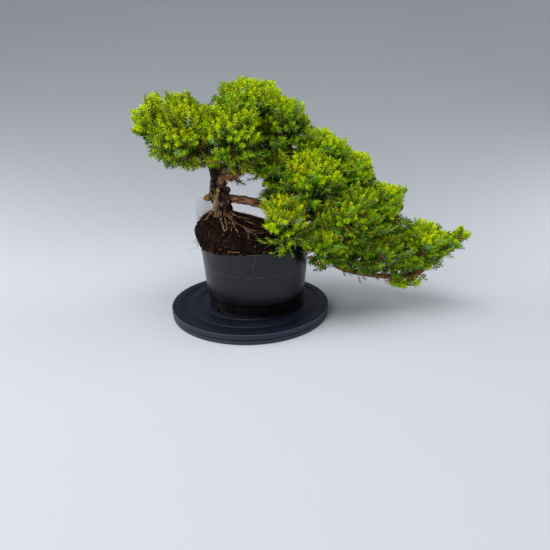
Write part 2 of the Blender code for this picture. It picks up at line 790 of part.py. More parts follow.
def make_root_ball(parts, material):
    turns = [math.tau * step / MOUND_SIDES for step in range(MOUND_SIDES)]
    plug = (
        (FOOT_RADIUS - WALL - SOIL_GAP, POT_BASE + FLOOR + GAP),
        (FOOT_TOP_RADIUS - WALL - SOIL_GAP, FOOT_TOP_HEIGHT),
        (WALL_FOOT_RADIUS - WALL - SOIL_GAP, WALL_FOOT_HEIGHT),
    )
    rings = []
    for radius, height in plug:
        rings.append([POT_AXIS + Vector((math.cos(t), math.sin(t), 0)) * radius + UP * height for t in turns])
    sides = [mound_side(turn) for turn in turns]
    rings += [[side[level] for side in sides] for level in range(3)]
    for step in range(MOUND_RINGS, -1, -1):
        rings.append([mound_point(turn, step / MOUND_RINGS) for turn in turns])
    first_top = len(plug) + 2
    for level, ring in enumerate(rings[first_top:-1]):
        for index, point in enumerate(ring):
            lump = noise.noise(point / LUMP_SIZE) * LUMP * (SHOULDER_LUMP if level == 0 else 1)
            ring[index] = point + UP * lump
    ball = loft("root_ball", rings, parts, material)
    roots = add_collection("surface roots")
    for degrees in ROOT_TURNS:
        turn = math.radians(degrees)
        points = [mound_point(turn, share) / MM for share in ROOT_SHARES]
        tube("root", limb_line(points, ROOT_RADII, ROOT_STEPS), roots, SIDE_LIMB_SIDES)
    cut_seat(roots)
    combine(ball, roots, "UNION")
    cutters = add_collection("label slit")
    label_blade(cutters, swell=GAP)
    combine(ball, cutters, "DIFFERENCE")
    keep_largest(ball)
    shade(ball)
    return ball


def cut_seat(roots):
    """Keeps the surface roots below the trunk's flat foot."""
    for root in roots.objects:
        bm = bmesh.new()
        bm.from_mesh(root.data)
        for vertex in bm.verts:
            vertex.co.z = min(vertex.co.z, SEAT.z)
        bm.to_mesh(root.data)
        bm.free()


def label_outline(swell):
    """Across and up, in metres: round corners at the top, straight sides, and a cut point at the foot."""
    half = LABEL_WIDTH / 2 + swell
    outline = []
    for centre, start in ((half - LABEL_CORNER, 0), (LABEL_CORNER - half, 90)):
        for step in range(4):
            turn = math.radians(start + 30 * step)
            across = centre + LABEL_CORNER * math.cos(turn)
            outline.append((across, LABEL_TOP + swell + LABEL_CORNER * (math.sin(turn) - 1)))
    nose = LABEL_NOSE.x + swell
    nose_height = LABEL_POINT + LABEL_NOSE.y - swell
    outline += [(-half, LABEL_SHOULDER), (-nose, nose_height), (0, LABEL_POINT - 2 * swell)]
    outline += [(nose, nose_height), (half, LABEL_SHOULDER)]
    return outline


def label_blade(collection, swell=0.0, material=None):
    """The tag, whose point sits in the soil."""
    outline = label_outline(swell)
    curve = bpy.data.curves.new("label outline", "CURVE")
    curve.dimensions = "2D"
    curve.fill_mode = "BOTH"
    curve.extrude = LABEL_THICKNESS / 2 + swell
    spline = curve.splines.new("POLY")
    spline.points.add(len(outline) - 1)
    for point, (across, height) in zip(spline.points, outline):
        point.co = (across, height - LABEL_SHOULDER, 0, 1)
    spline.use_cyclic_u = True
    label = welded("plant_label", curve, collection, material)
    label.location = LABEL_PLACE + UP * LABEL_SHOULDER
    label.rotation_euler = (math.radians(90), LABEL_LEAN, LABEL_TURN)
    freeze_place(label)
    return label


def make_turntable(parts, material):
    rim = BASE_RADIUS - EDGE_ROUND
    bearing_top = BASE_HEIGHT + SLIT - GAP
    base_profile = [
        (0, bearing_top),
        (BEARING_RADIUS, bearing_top),
        (BEARING_RADIUS, BASE_HEIGHT),
        (rim, BASE_HEIGHT),
        (BASE_RADIUS, BASE_HEIGHT - EDGE_SOFT),
        (BASE_RADIUS, EDGE_SOFT),
        (rim, 0),
        (0, 0),
    ]
    turned("turntable_base", base_profile, (0, 0, 0), parts, material)
    outer, second, third, fourth = (TABLE_RADIUS * share for share in RIB_EDGES)
    low = TABLE_HEIGHT - RIB_DEPTH
    slope = RIB_SLOPE / 2
    top_profile = [
        (0, TABLE_HEIGHT),
        (fourth - slope, TABLE_HEIGHT),
        (fourth + slope, low),
        (third - slope, low),
        (third + slope, TABLE_HEIGHT),
        (second - slope, TABLE_HEIGHT),
        (second + slope, low),
        (outer - slope, low),
        (outer + slope, TABLE_HEIGHT),
        (TABLE_RADIUS - EDGE_ROUND, TABLE_HEIGHT),
        (TABLE_RADIUS, TABLE_HEIGHT - EDGE_ROUND),
        (TABLE_RADIUS, BASE_HEIGHT + SLIT + EDGE_SOFT),
        (TABLE_RADIUS - EDGE_SOFT, BASE_HEIGHT + SLIT),
        (0, BASE_HEIGHT + SLIT),
    ]
    turned("turntable_top", top_profile, (0, 0, 0), parts, material)


def main():
    clear_scene()
    parts = add_collection("cascading juniper bonsai")
    materials = {name: make_material(name) for name in COLOURS}
    make_turntable(parts, materials["table_plastic"])
    make_pot(parts, materials["pot_plastic"])
    make_root_ball(parts, materials["soil"])
    label_blade(parts, material=materials["label_plastic"])
    make_trunk(parts, materials["bark"])
    lines, parents, carriers = plan_limbs()
    make_limbs(lines, parents, parts, materials["bark"])
    stems = {name: stem_line(name, lines[carriers[name]]) for name in MASSES}
    wood = {"trunk": trunk_line()} | lines | stems
    for name in MASSES:
        make_mass(name, wood, parts, materials["foliage"])


main()
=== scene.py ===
"""The looks of a cascading juniper bonsai in a cut-down nursery pot on a turntable.

Everything is in metres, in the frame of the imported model: +Z up, the origin under the turntable's middle,
the cascade running towards +X and the plant's front facing -Y. Lengths are written in millimetres and turned
into metres by MM. Each foliage mass keeps to its own rounded-box space, and twigs, shoots and needles grow
in it by seeded rules like those of the solids' shoots, carried finer.
"""

import json
import math

import bmesh
import bpy
import numpy as np
from mathutils import Matrix, Vector, noise

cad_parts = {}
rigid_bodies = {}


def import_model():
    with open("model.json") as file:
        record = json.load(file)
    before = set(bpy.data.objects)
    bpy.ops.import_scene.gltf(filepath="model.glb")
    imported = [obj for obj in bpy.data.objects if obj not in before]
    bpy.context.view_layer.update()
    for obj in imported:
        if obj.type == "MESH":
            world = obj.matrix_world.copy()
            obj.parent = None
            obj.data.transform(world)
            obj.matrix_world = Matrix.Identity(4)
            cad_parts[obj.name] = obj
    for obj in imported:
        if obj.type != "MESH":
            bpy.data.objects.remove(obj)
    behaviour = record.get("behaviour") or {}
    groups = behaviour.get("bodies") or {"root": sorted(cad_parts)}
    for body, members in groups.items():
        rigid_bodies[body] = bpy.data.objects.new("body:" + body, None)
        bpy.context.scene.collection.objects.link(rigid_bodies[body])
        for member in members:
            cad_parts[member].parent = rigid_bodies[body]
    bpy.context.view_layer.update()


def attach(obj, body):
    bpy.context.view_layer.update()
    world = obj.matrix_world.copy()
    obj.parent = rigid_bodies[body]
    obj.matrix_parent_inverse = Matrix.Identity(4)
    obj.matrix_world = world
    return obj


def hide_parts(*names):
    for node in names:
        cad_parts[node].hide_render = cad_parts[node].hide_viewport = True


MM = 0.001
UP = np.array((0.0, 0.0, 1.0))
GOLDEN = math.pi * (3 - math.sqrt(5))
SEED = 42
# what goes with SEED: the masses count up from 0, and the rows of a table from its own number here
SPRIG_SEEDS, BRUSH_SEEDS, SPRAY_SEEDS, CRUMB_SEED, FIBRE_SEED = 60, 80, 120, 101, 102
TINY = 1e-9

# ---- trunk and limbs, close to the solids: points in mm, radii in mm at even steps from first to last ----
TRUNK_PATH = ((-36, 1, 138), (-37.5, 1, 153), (-40.5, 1, 168), (-42.5, 1, 183))
TRUNK_RADII = (12.8, 11.2, 11.8, 9.2)
FLARE_TURNS = (-165, -115, -60, -15, 40, 85, 130)
FLARE_STEPS = ((7, 20), (10, 8), (15, 0))
FLARE_RADII = (3.5, 6)
STUB = ((-41, 0, 167), (-58.5, -3, 165.5))
STUB_RADII = (6.6, 4.6)
KNOB = ((-38, -1, 175), (-26.5, -3, 173.5))
KNOB_RADII = (5.5, 3.8)
LIMBS = {
    # limb: what it springs from, points, radii
    "bough_left": (
        "trunk",
        ((-45, 3, 180), (-44.8, 5, 197), (-52, 8, 213), (-72, 6, 227), (-97, 1, 245)),
        (5.2, 6, 5, 4.2, 3.4),
    ),
    "bough_upper": (
        "trunk",
        ((-37, -3, 180), (-32.5, -3, 199), (-21, 3, 222), (-6, 6, 248)),
        (4.6, 5.3, 4.2, 3.2),
    ),
    "bough_low": ("trunk", ((-34, 0, 164), (-10, -2, 163), (20, -4, 156), (47, -4, 145)), (5.7, 5.0)),
    "bough_cascade": (
        "bough_low",
        ((47.3, -4, 144.7), (74, -7, 128), (97, -11, 104), (116, -12, 80)),
        (5.6, 4.6),
    ),
    "bough_tail": (
        "bough_cascade",
        ((116.2, -12, 79.6), (134, -10, 65), (161, -6, 57), (192, -3, 51), (222, 0, 49))
        + ((249, 1, 57), (272, 0, 75)),
        (4.6, 2.8),
    ),
    "bough_shoulder": ("bough_low", ((36, -4, 149), (48, 0, 172), (64, 3, 191), (86, 5, 210)), (4.2, 2.8)),
    "bough_middle": (
        "bough_cascade",
        ((66, -6, 133), (98, -2, 141), (132, 1, 150), (162, 0, 151)),
        (4.0, 2.8),
    ),
}
SIDE_RADII = (2.9, 2.1)
SIDE_RISE = 0.08  # how much a side bough arches, as a share of its length
BOUGH_ENTRY = 0.80  # how far out in its mass's space a side bough ends
SHORTEST_BOUGH = 15 * MM
SHARE_STEP = 0.01

# ---- the foliage masses: limb, where on it, centre in mm, half sizes in mm ----
MASSES = {
    "left_outer": ("bough_left", 1.0, (-117, -4, 256), (31, 42, 42)),
    "left_front": ("bough_left", 0.50, (-72, -34, 244), (44, 38, 44)),
    "left_rear": ("bough_left", 0.66, (-86, 34, 264), (44, 38, 42)),
    "apex": ("bough_upper", 1.0, (6, 4, 284), (49, 46, 37)),
    "upper_front": ("bough_upper", 0.52, (-14, -40, 243), (40, 36, 42)),
    "upper_right": ("bough_upper", 0.86, (51, 4, 258), (36, 44, 41)),
    "upper_rear": ("bough_upper", 0.68, (2, 52, 256), (50, 36, 44)),
    "inner": ("bough_shoulder", 0.30, (38, -2, 200), (31, 40, 36)),
    "shoulder_top": ("bough_shoulder", 1.0, (102, 6, 222), (40, 44, 36)),
    "shoulder_front": ("bough_shoulder", 0.62, (86, -38, 190), (46, 38, 38)),
    "shoulder_rear": ("bough_shoulder", 0.78, (108, 48, 194), (52, 36, 40)),
    "shoulder_right": ("bough_middle", 0.62, (146, 4, 196), (31, 42, 35)),
    "middle_upper": ("bough_middle", 1.0, (188, 0, 150), (33, 42, 39)),
    "middle_front": ("bough_middle", 0.50, (130, -38, 142), (50, 38, 42)),
    "middle_rear": ("bough_middle", 0.56, (170, 46, 134), (56, 34, 46)),
    "middle_low": ("bough_cascade", 0.76, (98, -46, 106), (33, 32, 38)),
    "middle_under": ("bough_tail", 0.36, (174, -10, 93), (54, 38, 38)),
    "tail_upper": ("bough_tail", 0.78, (243, 0, 98), (37, 40, 38)),
    "tail_tip": ("bough_tail", 1.0, (290, 0, 101), (31, 28, 25)),
    "tail_under": ("bough_tail", 0.50, (227, -3, 40), (30, 24, 12)),
    "front_pad": ("bough_low", 0.84, (50, -56, 140), (34, 32, 41)),
}
BOXINESS = 2.4  # the power of the masses' rounded-box spaces
NAMES = list(MASSES)
CENTRES = np.array([MASSES[name][2] for name in NAMES]) * MM
HALVES = np.array([MASSES[name][3] for name in NAMES]) * MM

# ---- the outline of the foliage from the front: points in mm on the plane y = 0, seen from FRONT_EYE ----
FRONT_EYE = (36, -570, 257)
OUTLINE = (
    # over the left masses and the top one
    (-131, 212), (-131, 224), (-139, 234), (-138, 244), (-148, 248), (-151, 254), (-146, 262), (-150, 268),
    (-153, 274), (-150, 279), (-132, 284), (-131, 298), (-120, 303), (-105, 303), (-85, 301), (-72, 302),
    (-65, 293), (-60, 287), (-44, 284), (-42, 300), (-34, 304), (-29, 316), (-24, 317), (-9, 319), (6, 315),
    (21, 313), (31, 315), (37, 314), (41, 305), (46, 298), (51, 294), (57, 291), (67, 292), (73, 287),
    # down the shoulder to the tail's tip
    (77, 278), (82, 271), (85, 262), (90, 257), (104, 257), (110, 251), (120, 243), (133, 243), (137, 233),
    (142, 228), (153, 225), (166, 225), (165, 216), (169, 205), (173, 196), (178, 190), (183, 188),
    (195, 183), (205, 186), (216, 185), (219, 179), (219, 172), (215, 163), (214, 141), (222, 137),
    (240, 136), (250, 135), (262, 132), (268, 130), (275, 117), (287, 118), (296, 125), (302, 125),
    (309, 119), (317, 113), (312, 107),
    # back along the underside
    (306, 101), (306, 95), (298, 89), (293, 82), (285, 77), (287, 70), (285, 64), (279, 58), (269, 57),
    (262, 61), (257, 55), (253, 39), (248, 33), (236, 34), (225, 30), (207, 33), (198, 37), (192, 50),
    (188, 45), (176, 50), (158, 53), (152, 56), (146, 53), (134, 51), (128, 60), (122, 63), (107, 59),
    (93, 63), (84, 66), (80, 81), (73, 83), (69, 91), (57, 90), (52, 86), (17, 84), (15, 160), (14, 172),
    # under the upper masses, either side of the trunk
    (9, 182), (8, 192), (-8, 196), (-30, 191), (-50, 193), (-58, 203), (-74, 201), (-85, 199), (-97, 203),
    (-110, 206), (-115, 211),
)
OUTLINE_MARGIN = 1.8 * MM  # room for the needles outside the shoots' tips
HOLES = (
    # where sky shows through: place on the same plane and radius, in mm
    ((-51, 194), 6),
    ((20, 139), 5),
    ((12, 186), 6),
)

# ---- growth of a mass ----
STEM_SIDES, BRANCH_SIDES, TWIG_SIDES = 7, 5, 4  # corners of their sections
STEM_KNOTS = 7  # points along the stem from a bough's tip to the middle of its mass
STEM_BARE = 3  # of them before the first fork
STEM_REACH = 0.85  # how much of the way to the middle it goes
BRANCHES = 8  # main forks inside a mass
BRANCH_KNOTS = 6
BRANCH_REACH = (0.30, 0.46)
BRANCH_RADII = (1.7 * MM, 1.1 * MM)
TWIG_SPACING = 21 * MM  # between the ends of neighbouring twigs round a mass
TWIG_KINDS = {
    # kind: how many, as a share of the outer ones, how far out in the space they end, mean step of painted
    # light
    "outer": (1, (0.48, 0.72), 4.3),
    "inner": (0.8, (0.30, 0.62), 1.2),
    "filling": (0.9, (0.85, 1.30), 2.8),
}
UNDER_REACH = (0.70, 1.15)  # where the outer twigs that point down end
DEAD_SHARE = 0.26  # of the inner twigs
GLAUCOUS_SHARE = 0.16
TWIG_DROOP = 0.16
TWIG_STRAY = 0.10
TWIG_RADII = (1.05 * MM, 0.6 * MM)
TWIG_KNOTS = 5
TWIG_BEND = 0.55  # how far along it a twig bends
OUTWARD_COST = 0.6  # how much a twig prefers to start from a fork further in
TWIG_BARE = 0.25  # share of the twig that has no needles
NEIGHBOUR_OVERLAP = 0.15  # shoots may reach this far into the next space, so that no seam shows
BLEND = 5  # how the spaces melt into each other: lower fills the hollows between them more
SPACE_EDGE = 1.05
EDGE_SWING = 0.22  # how unevenly the shoots stop at the space's edge
EDGE_LUMP = 13 * MM
WOOD_CLEARANCE = 2.5 * MM
POT_CLEARANCE = 3.0 * MM
FREE = "free"  # stands for a mass's number where a spray needn't keep to any space
BOUGHS_ONLY = None  # and where shoots need only keep inside the front outline

# ---- a head: the lobes that an outer twig ends in, each a dense knob of young needles ----
HEAD_LOBES = (5, 8)
HEAD_REACH = (10 * MM, 16 * MM)
HEAD_SPREAD = math.radians(52)
HEAD_OUTWARD = 0.6  # how much a head faces out rather than up
HEAD_STRAY = 0.12
LOBE_STARTS = 0.75  # how far back along the twig the outermost lobes spring, as a share of it
LOBE_BULGE = 0.24
LOBE_CLEARANCE = 1.5 * MM
LOBE_PULLED = 0.5  # a lobe that would leave the space grows this share of its reach instead
LOBE_RADII = (0.65 * MM, 0.48 * MM)
KNOB_REACH = (5.5 * MM, 8.5 * MM)
LOBE_BARE = 0.08  # share of a lobe's stem without needles
LEAST_STEM = 0.15  # a shorter stem has young needles only
KNOB_DARKER = 0.5  # steps at a knob's foot
KNOB_LIGHTER = 0.4  # and at its tip

# ---- a spray: short shoots to both sides of a twig, below and inside a mass ----
SPRAY_BELOW = -0.30  # twigs that point lower than this end in sprays
SPRAY_STARTS = 0.35
SPRAY_STEP = 4.6 * MM
SPRAY_LENGTHS = (13 * MM, 8 * MM)
SPRAY_UNLIKE = (0.8, 1.25)
SPRAY_HEADING = (0.75, 0.62, 0.22)  # forward along the twig, to the side and up
SPRAY_BOW = 1.2  # how much a shoot sets off to the side before it turns forward
SPRAY_BEND = 0.45
SPRAY_DARKER = 0.4
WHOLE_SHOOT = (1, 1)  # longer than any shoot: its young needles cover all of it

# ---- sprigs on the boughs themselves ----
SPRIG_STEP = 5.0 * MM
SPRIG_LENGTHS = (13 * MM, 27 * MM)
SPRIG_LIGHT = 3.2  # mean step
SPRIG_SPREAD = 0.5
SPRIG_AHEAD = 0.03  # how far ahead on the bough shows which way it runs there, as a share of it
SPRIG_FORWARD = (0.1, 0.7)  # how much a sprig leans towards the bough's tip
SPRIG_SUNK = 0.8  # it starts at this share of the bough's radius
SPRIG_RISE = 0.15
SPRIG_SAG = 0.05
SPRIG_BARE = 0.3
SPRIG_BOUGHS = (
    # bough, from and to which share of it, degrees either side of straight up
    ("bough_tail", 0.10, 0.97, 100),
    ("bough_tail", 0.78, 1.0, 180),
    ("bough_tail", 0.50, 0.72, 170),
    ("bough_cascade", 0.30, 1.0, 140),
    ("bough_middle", 0.15, 0.95, 150),
    ("bough_shoulder", 0.15, 0.95, 150),
    ("bough_low", 0.62, 1.0, 90),
    ("bough_left", 0.42, 0.95, 180),
    ("bough_upper", 0.36, 0.95, 180),
)

# ---- dead brush: bough, share of it, heading, length in mm ----
BRUSH = (
    ("bough_upper", 0.24, (1, -0.25, 0.06), 30),
    ("bough_upper", 0.20, (0.8, -0.5, 0.35), 22),
    ("bough_upper", 0.28, (1, -0.3, 0.1), 40),
    ("bough_upper", 0.34, (1, -0.3, -0.02), 42),
    ("bough_upper", 0.38, (0.9, -0.5, -0.16), 36),
    ("bough_left", 0.32, (0.9, -0.3, 0.1), 16),
    ("bough_upper", 0.33, (1, -0.35, 0.25), 27),
    ("bough_upper", 0.42, (0.8, -0.6, 0.05), 26),
    ("bough_upper", 0.50, (1, -0.2, -0.15), 30),
    ("bough_left", 0.30, (-0.7, -0.4, 0.2), 22),
    ("bough_left", 0.38, (0.6, -0.5, 0.35), 20),
    ("bough_low", 0.86, (0.2, -0.5, 1.0), 34),
    ("bough_low", 0.97, (0.3, -0.45, 1.0), 42),
    ("bough_shoulder", 0.12, (0.25, -0.7, 0.8), 34),
    ("bough_shoulder", 0.30, (0.35, -0.9, 0.3), 32),
    ("bough_shoulder", 0.50, (0.3, -0.9, 0.1), 32),
    ("bough_cascade", 0.06, (0.3, -0.8, 0.55), 38),
    ("bough_cascade", 0.16, (0.5, -0.9, 0.25), 36),
    ("bough_cascade", 0.28, (0.5, -0.8, 0.1), 32),
    ("bough_cascade", 0.45, (0.6, -0.7, -0.1), 26),
    ("bough_middle", 0.20, (0.5, -0.9, 0.2), 30),
    ("bough_tail", 0.10, (0.8, -0.5, -0.3), 18),
    ("bough_tail", 0.22, (0.9, -0.4, -0.12), 22),
    ("bough_tail", 0.34, (1, -0.4, -0.08), 24),
    ("bough_tail", 0.46, (1, -0.5, 0.02), 26),
    ("bough_tail", 0.58, (1, -0.4, 0.08), 26),
    ("bough_tail", 0.70, (1, -0.3, 0.16), 24),
    ("bough_upper", 0.22, (0.35, -1, 0.06), 44),
    ("bough_upper", 0.28, (0.5, -1, 0.0), 48),
    ("bough_upper", 0.34, (0.5, -1, -0.1), 44),
)
BRUSH_RADII = (1.0 * MM, 0.45 * MM)
BRUSH_CROOK = 0.08  # how crooked a dead twig is, as a share of its length
BRUSH_BARE = 0.45
BRUSH_SIDES = 5  # side twigs on each
BRUSH_SPOTS = (0.3, 0.92)  # where the first and the last of them spring
BRUSH_SPREAD = 0.9
BRUSH_LENGTHS = (8 * MM, 15 * MM)
BRUSH_PALE = 0.6  # of the side twigs
BRUSH_NEEDLES = (2.6 * MM, (62, 40), (4.8 * MM, 3.8 * MM))

# ---- single sprays that show: start, bend and end in mm, step of light ----
SPRAYS = (
    ((50, -52, 134), (62, -56, 112), (25, -62, 118), 3.6),
    ((52, -54, 128), (62, -60, 104), (30, -68, 104), 3.2),
    ((-33, -4, 193), (-24, -6, 196), (-13, -8, 188), 1.6),
    ((46, -6, 188), (37, -12, 184), (21, -18, 171), 1.6),
    ((44, -8, 178), (36, -12, 174), (25, -16, 162), 1.4),
    ((32, -4, 207), (24, -10, 204), (11, -14, 194), 1.8),
    ((96, 20, 158), (90, 18, 154), (76, 14, 147), 0.9),
    ((86, 20, 166), (82, 18, 160), (72, 14, 152), 0.9),
    ((172, 20, 84), (166, 18, 80), (150, 14, 72), 0.9),
    ((180, 22, 86), (172, 18, 82), (157, 14, 73), 0.9),
    ((100, 20, 156), (94, 17, 153), (80, 12, 149), 0.9),
    ((164, 20, 92), (158, 18, 86), (145, 14, 78), 0.9),
    ((122, 20, 72), (116, 18, 68), (103, 14, 58), 0.9),
    ((-48, -2, 226), (-56, -2, 224), (-69, -2, 216), 1.2),
    ((248, 0, 90), (260, -3, 82), (270, -4, 71), 3.0),
    ((258, 2, 98), (272, 0, 92), (283, -2, 83), 3.4),
    ((272, 2, 108), (286, 0, 102), (298, -2, 94), 3.6),
    ((-38, 2, 234), (-46, 5, 231), (-60, 8, 226), 1.2),
    ((-42, 3, 211), (-50, 5, 213), (-64, 6, 211), 1.2),
)

# ---- needles in whorls of three: whorl step, degrees off the stem, needle lengths, from foot to tip ----
NEEDLE_WIDTH = 1.7 * MM
NEEDLE_DEPTH = 0.45 * MM
NEEDLE_WIDEST = 0.42  # this far along its length
WHORL_TURN = math.pi / 3
TURN_STRAY = 0.3
LEAN_STRAY = 0.14
LEAN_CURVE = 1.3  # needles straighten up late along their stretch
UNLIKE_LENGTH = (0.86, 1.12)  # how much longer or shorter a needle is than its neighbours
UNLIKE_SIZE = (0.85, 1.15)  # the same for its width, and for the reach of a head's lobes
TINT_STRAY = 0.3  # steps of light
OLD_NEEDLES = (3.0 * MM, (66, 56), (6.8 * MM, 6.8 * MM))
LOWER_NEEDLES = (2.4 * MM, (64, 56), (6.8 * MM, 6.4 * MM))
KNOB_NEEDLES = (1.35 * MM, (66, 30), (5.6 * MM, 4.6 * MM))
SPRIG_NEEDLES = (1.9 * MM, (62, 26), (6.6 * MM, 5.2 * MM))

TINTS = [
    # name, sRGB colour: steps of painted light, from the painted shade of the plant's inside out to its
    # brightest tips, which are also paler young growth
    ("needles_shade", (38, 60, 14)),
    ("needles_dark", (60, 96, 28)),
    ("needles_deep", (88, 126, 20)),
    ("needles_middle", (126, 158, 12)),
    ("needles_fresh", (150, 181, 3)),
    ("needles_lime", (170, 192, 1)),
    ("needles_yellow", (188, 201, 3)),
]
GREENER = [
    # the same steps on the greener shoots, which most are towards the tail
    *TINTS[:2],
    ("needles_moss", (70, 122, 30)),
    ("needles_leaf", (100, 154, 26)),
    ("needles_grass", (130, 174, 14)),
    ("needles_light", (154, 190, 10)),
    TINTS[-1],
]
GLAUCOUS = ("needles_glaucous", (112, 156, 92))
DEAD = ("needles_dead", (168, 112, 74))
WITHERED = ("needles_withered", (98, 66, 46))
NEEDLE_TINTS = [*TINTS, *(tint for tint in GREENER if tint not in TINTS), GLAUCOUS, DEAD, WITHERED]
HEIGHT_LIGHT = 0.7  # steps of painted light more at the top of a mass, and fewer at its foot
LOBE_LIGHT = 0.5  # steps of painted light more on a lobe that points up
LIGHT_SPREAD = 0.35
OLD_SPREAD = 0.4
MASS_LIGHT = {"left": 0.2, "front": 0.6, "middle": 0.0, "inner": -0.9, "tail": 0.2}  # steps of painted light and shade by a name's first word
GREEN_SHARE = {"left": 0.12, "apex": 0.25, "upper": 0.3, "shoulder": 0.45, "front": 0.35}  # of the shoots
GREEN_ELSEWHERE = 0.62
GREEN_SINGLE = 0.3
OLD_DARKER = 1.8  # steps of light between a shoot's young needles and its old ones: the old needles' own darker colour, and painted shade


# ---- colours and materials ----


def linear(colour):
    """An sRGB colour of 0 to 255 as linear values."""
    values = [channel / 255 for channel in colour]
    return tuple(v / 12.92 if v <= 0.04045 else ((v + 0.055) / 1.055) ** 2.4 for v in values)


def plain_material(name, colour, roughness, specular=0.5):
    material = bpy.data.materials.new(name)
    material.use_nodes = True
    shader = material.node_tree.nodes["Principled BSDF"]
    shader.inputs["Base Color"].default_value = (*linear(colour), 1)
    shader.inputs["Roughness"].default_value = roughness
    shader.inputs["Specular IOR Level"].default_value = specular
    return material


MIX_INPUTS = (0, 6, 7)  # a mix node's sockets for the factor and the two colours
MIX_OUTPUT = 2


class Nodes:
    """Makes a material, then adds nodes to it and links them, one short call for each."""

    def __init__(self, *settings):
        self.material = plain_material(*settings)
        self.tree = self.material.node_tree
        self.shader = self.tree.nodes["Principled BSDF"]

    def put(self, socket, value):
        """Links an input to another node's output, or sets its value."""
        if isinstance(value, bpy.types.NodeSocket):
            self.tree.links.new(value, socket)
        else:
            socket.default_value = value

    def add(self, kind, settings=None, **inputs):
        node = self.tree.nodes.new(kind)
        for key, value in (settings or {}).items():
            setattr(node, key, value)
        for key, value in inputs.items():
            self.put(node.inputs[key.replace("_", " ")], value)
        return node

    def surface(self, **inputs):
        for key, value in inputs.items():
            self.put(self.shader.inputs[key.replace("_", " ")], value)

    def place(self, scale=(1, 1, 1)):
        """Coordinates in metres, in the object's own frame."""
        source = self.add("ShaderNodeTexCoord")
        return self.add("ShaderNodeMapping", Vector=source.outputs["Object"], Scale=scale).outputs["Vector"]

    def axis(self, place, letter):
        return self.add("ShaderNodeSeparateXYZ", Vector=place).outputs[letter]

    def noise(self, place, scale, detail, roughness=0.55, distortion=0.0):
        settings = {"Scale": scale, "Detail": detail, "Roughness": roughness, "Distortion": distortion}
        return self.add("ShaderNodeTexNoise", Vector=place, **settings).outputs["Fac"]

    def ramp(self, fac, *stops):
        """stops: (position, sRGB colour) or (position, value)."""
        node = self.add("ShaderNodeValToRGB", Fac=fac)
        elements = node.color_ramp.elements
        while len(elements) < len(stops):
            elements.new(0.5)
        for element, (position, colour) in zip(elements, stops):
            element.position = position
            element.color = (*linear(colour), 1) if isinstance(colour, tuple) else (colour, colour, colour, 1)
        return node.outputs["Color"]

    def fade(self, value, start, end, first=1.0, last=0.0, kind="SMOOTHSTEP"):
        """The first share where the value is under start, the last one where it is over end."""
        span = {"From_Min": start, "From_Max": end, "To_Min": first, "To_Max": last}
        node = self.add("ShaderNodeMapRange", {"interpolation_type": kind}, Value=value, **span)
        return node.outputs["Result"]

    def mix(self, fac, first, second):
        node = self.add("ShaderNodeMix", {"data_type": "RGBA"})
        for number, value in zip(MIX_INPUTS, (fac, first, second)):
            self.put(node.inputs[number], (*linear(value), 1) if isinstance(value, tuple) else value)
        return node.outputs[MIX_OUTPUT]

    def math(self, operation, *values):
        node = self.add("ShaderNodeMath", {"operation": operation})
        for socket, value in zip(node.inputs, values):
            self.put(socket, value)
        return node.outputs["Value"]

    def bump(self, height, distance, strength=1.0):
        node = self.add("ShaderNodeBump", Height=height, Distance=distance, Strength=strength)
        self.surface(Normal=node.outputs["Normal"])


# ---- meshes from arrays ----


def add_object(name, data):
    thing = bpy.data.objects.new(name, data)
    bpy.context.scene.collection.objects.link(thing)
    return thing


def mesh_piece(name, vertices, faces, material, smooth=False):
    """A piece from an array of vertices and a list of face arrays (each of one face size)."""
    faces = [np.asarray(part, dtype=np.int32) for part in faces if len(part)]
    corners = np.concatenate([part.ravel() for part in faces])
    sizes = np.concatenate([np.full(len(part), part.shape[1], dtype=np.int32) for part in faces])
    mesh = bpy.data.meshes.new(name)
    mesh.vertices.add(len(vertices))
    mesh.vertices.foreach_set("co", np.asarray(vertices, dtype=np.float32).ravel())
    mesh.loops.add(len(corners))
    mesh.loops.foreach_set("vertex_index", corners)
    mesh.polygons.add(len(sizes))
    mesh.polygons.foreach_set("loop_start", np.concatenate(([0], np.cumsum(sizes)[:-1])).astype(np.int32))
    mesh.polygons.foreach_set("use_smooth", np.full(len(sizes), smooth))
    mesh.update(calc_edges=True)
    mesh.validate()
    mesh.materials.append(material)
    piece = add_object(name, mesh)
    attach(piece, "root")
    return piece


def unit(vectors):
    lengths = np.linalg.norm(vectors, axis=-1, keepdims=True)
    return vectors / np.maximum(lengths, 1e-12)


def around(count):
    """So many angles evenly round a circle."""
    return math.tau * np.arange(count) / count


def compass(turns):
    """Level unit vectors that point the way of each angle."""
    return np.stack((np.cos(turns), np.sin(turns), np.zeros_like(turns)), axis=-1)


def frames(directions, turns=0.0):
    """Two unit vectors square to each direction, turned about it."""
    helper = np.where(np.abs(directions[..., 2:3]) < 0.9, UP, np.array((1.0, 0.0, 0.0)))
    across = unit(np.cross(directions, helper))
    side = np.cross(directions, across)
    cosine, sine = np.cos(turns)[..., None], np.sin(turns)[..., None]
    return across * cosine + side * sine, side * cosine - across * sine


def add_relief(mesh, values):
    """Keeps how far each vertex stands out, from 0 in a crack to 1 on a ridge, for the bark's colours:
    painted shade in the cracks and hollows, painted light on the ridges.
    """
    layer = mesh.attributes.new("relief", "FLOAT", "POINT")
    layer.data.foreach_set("value", np.clip(values, 0, 1).astype(np.float32))


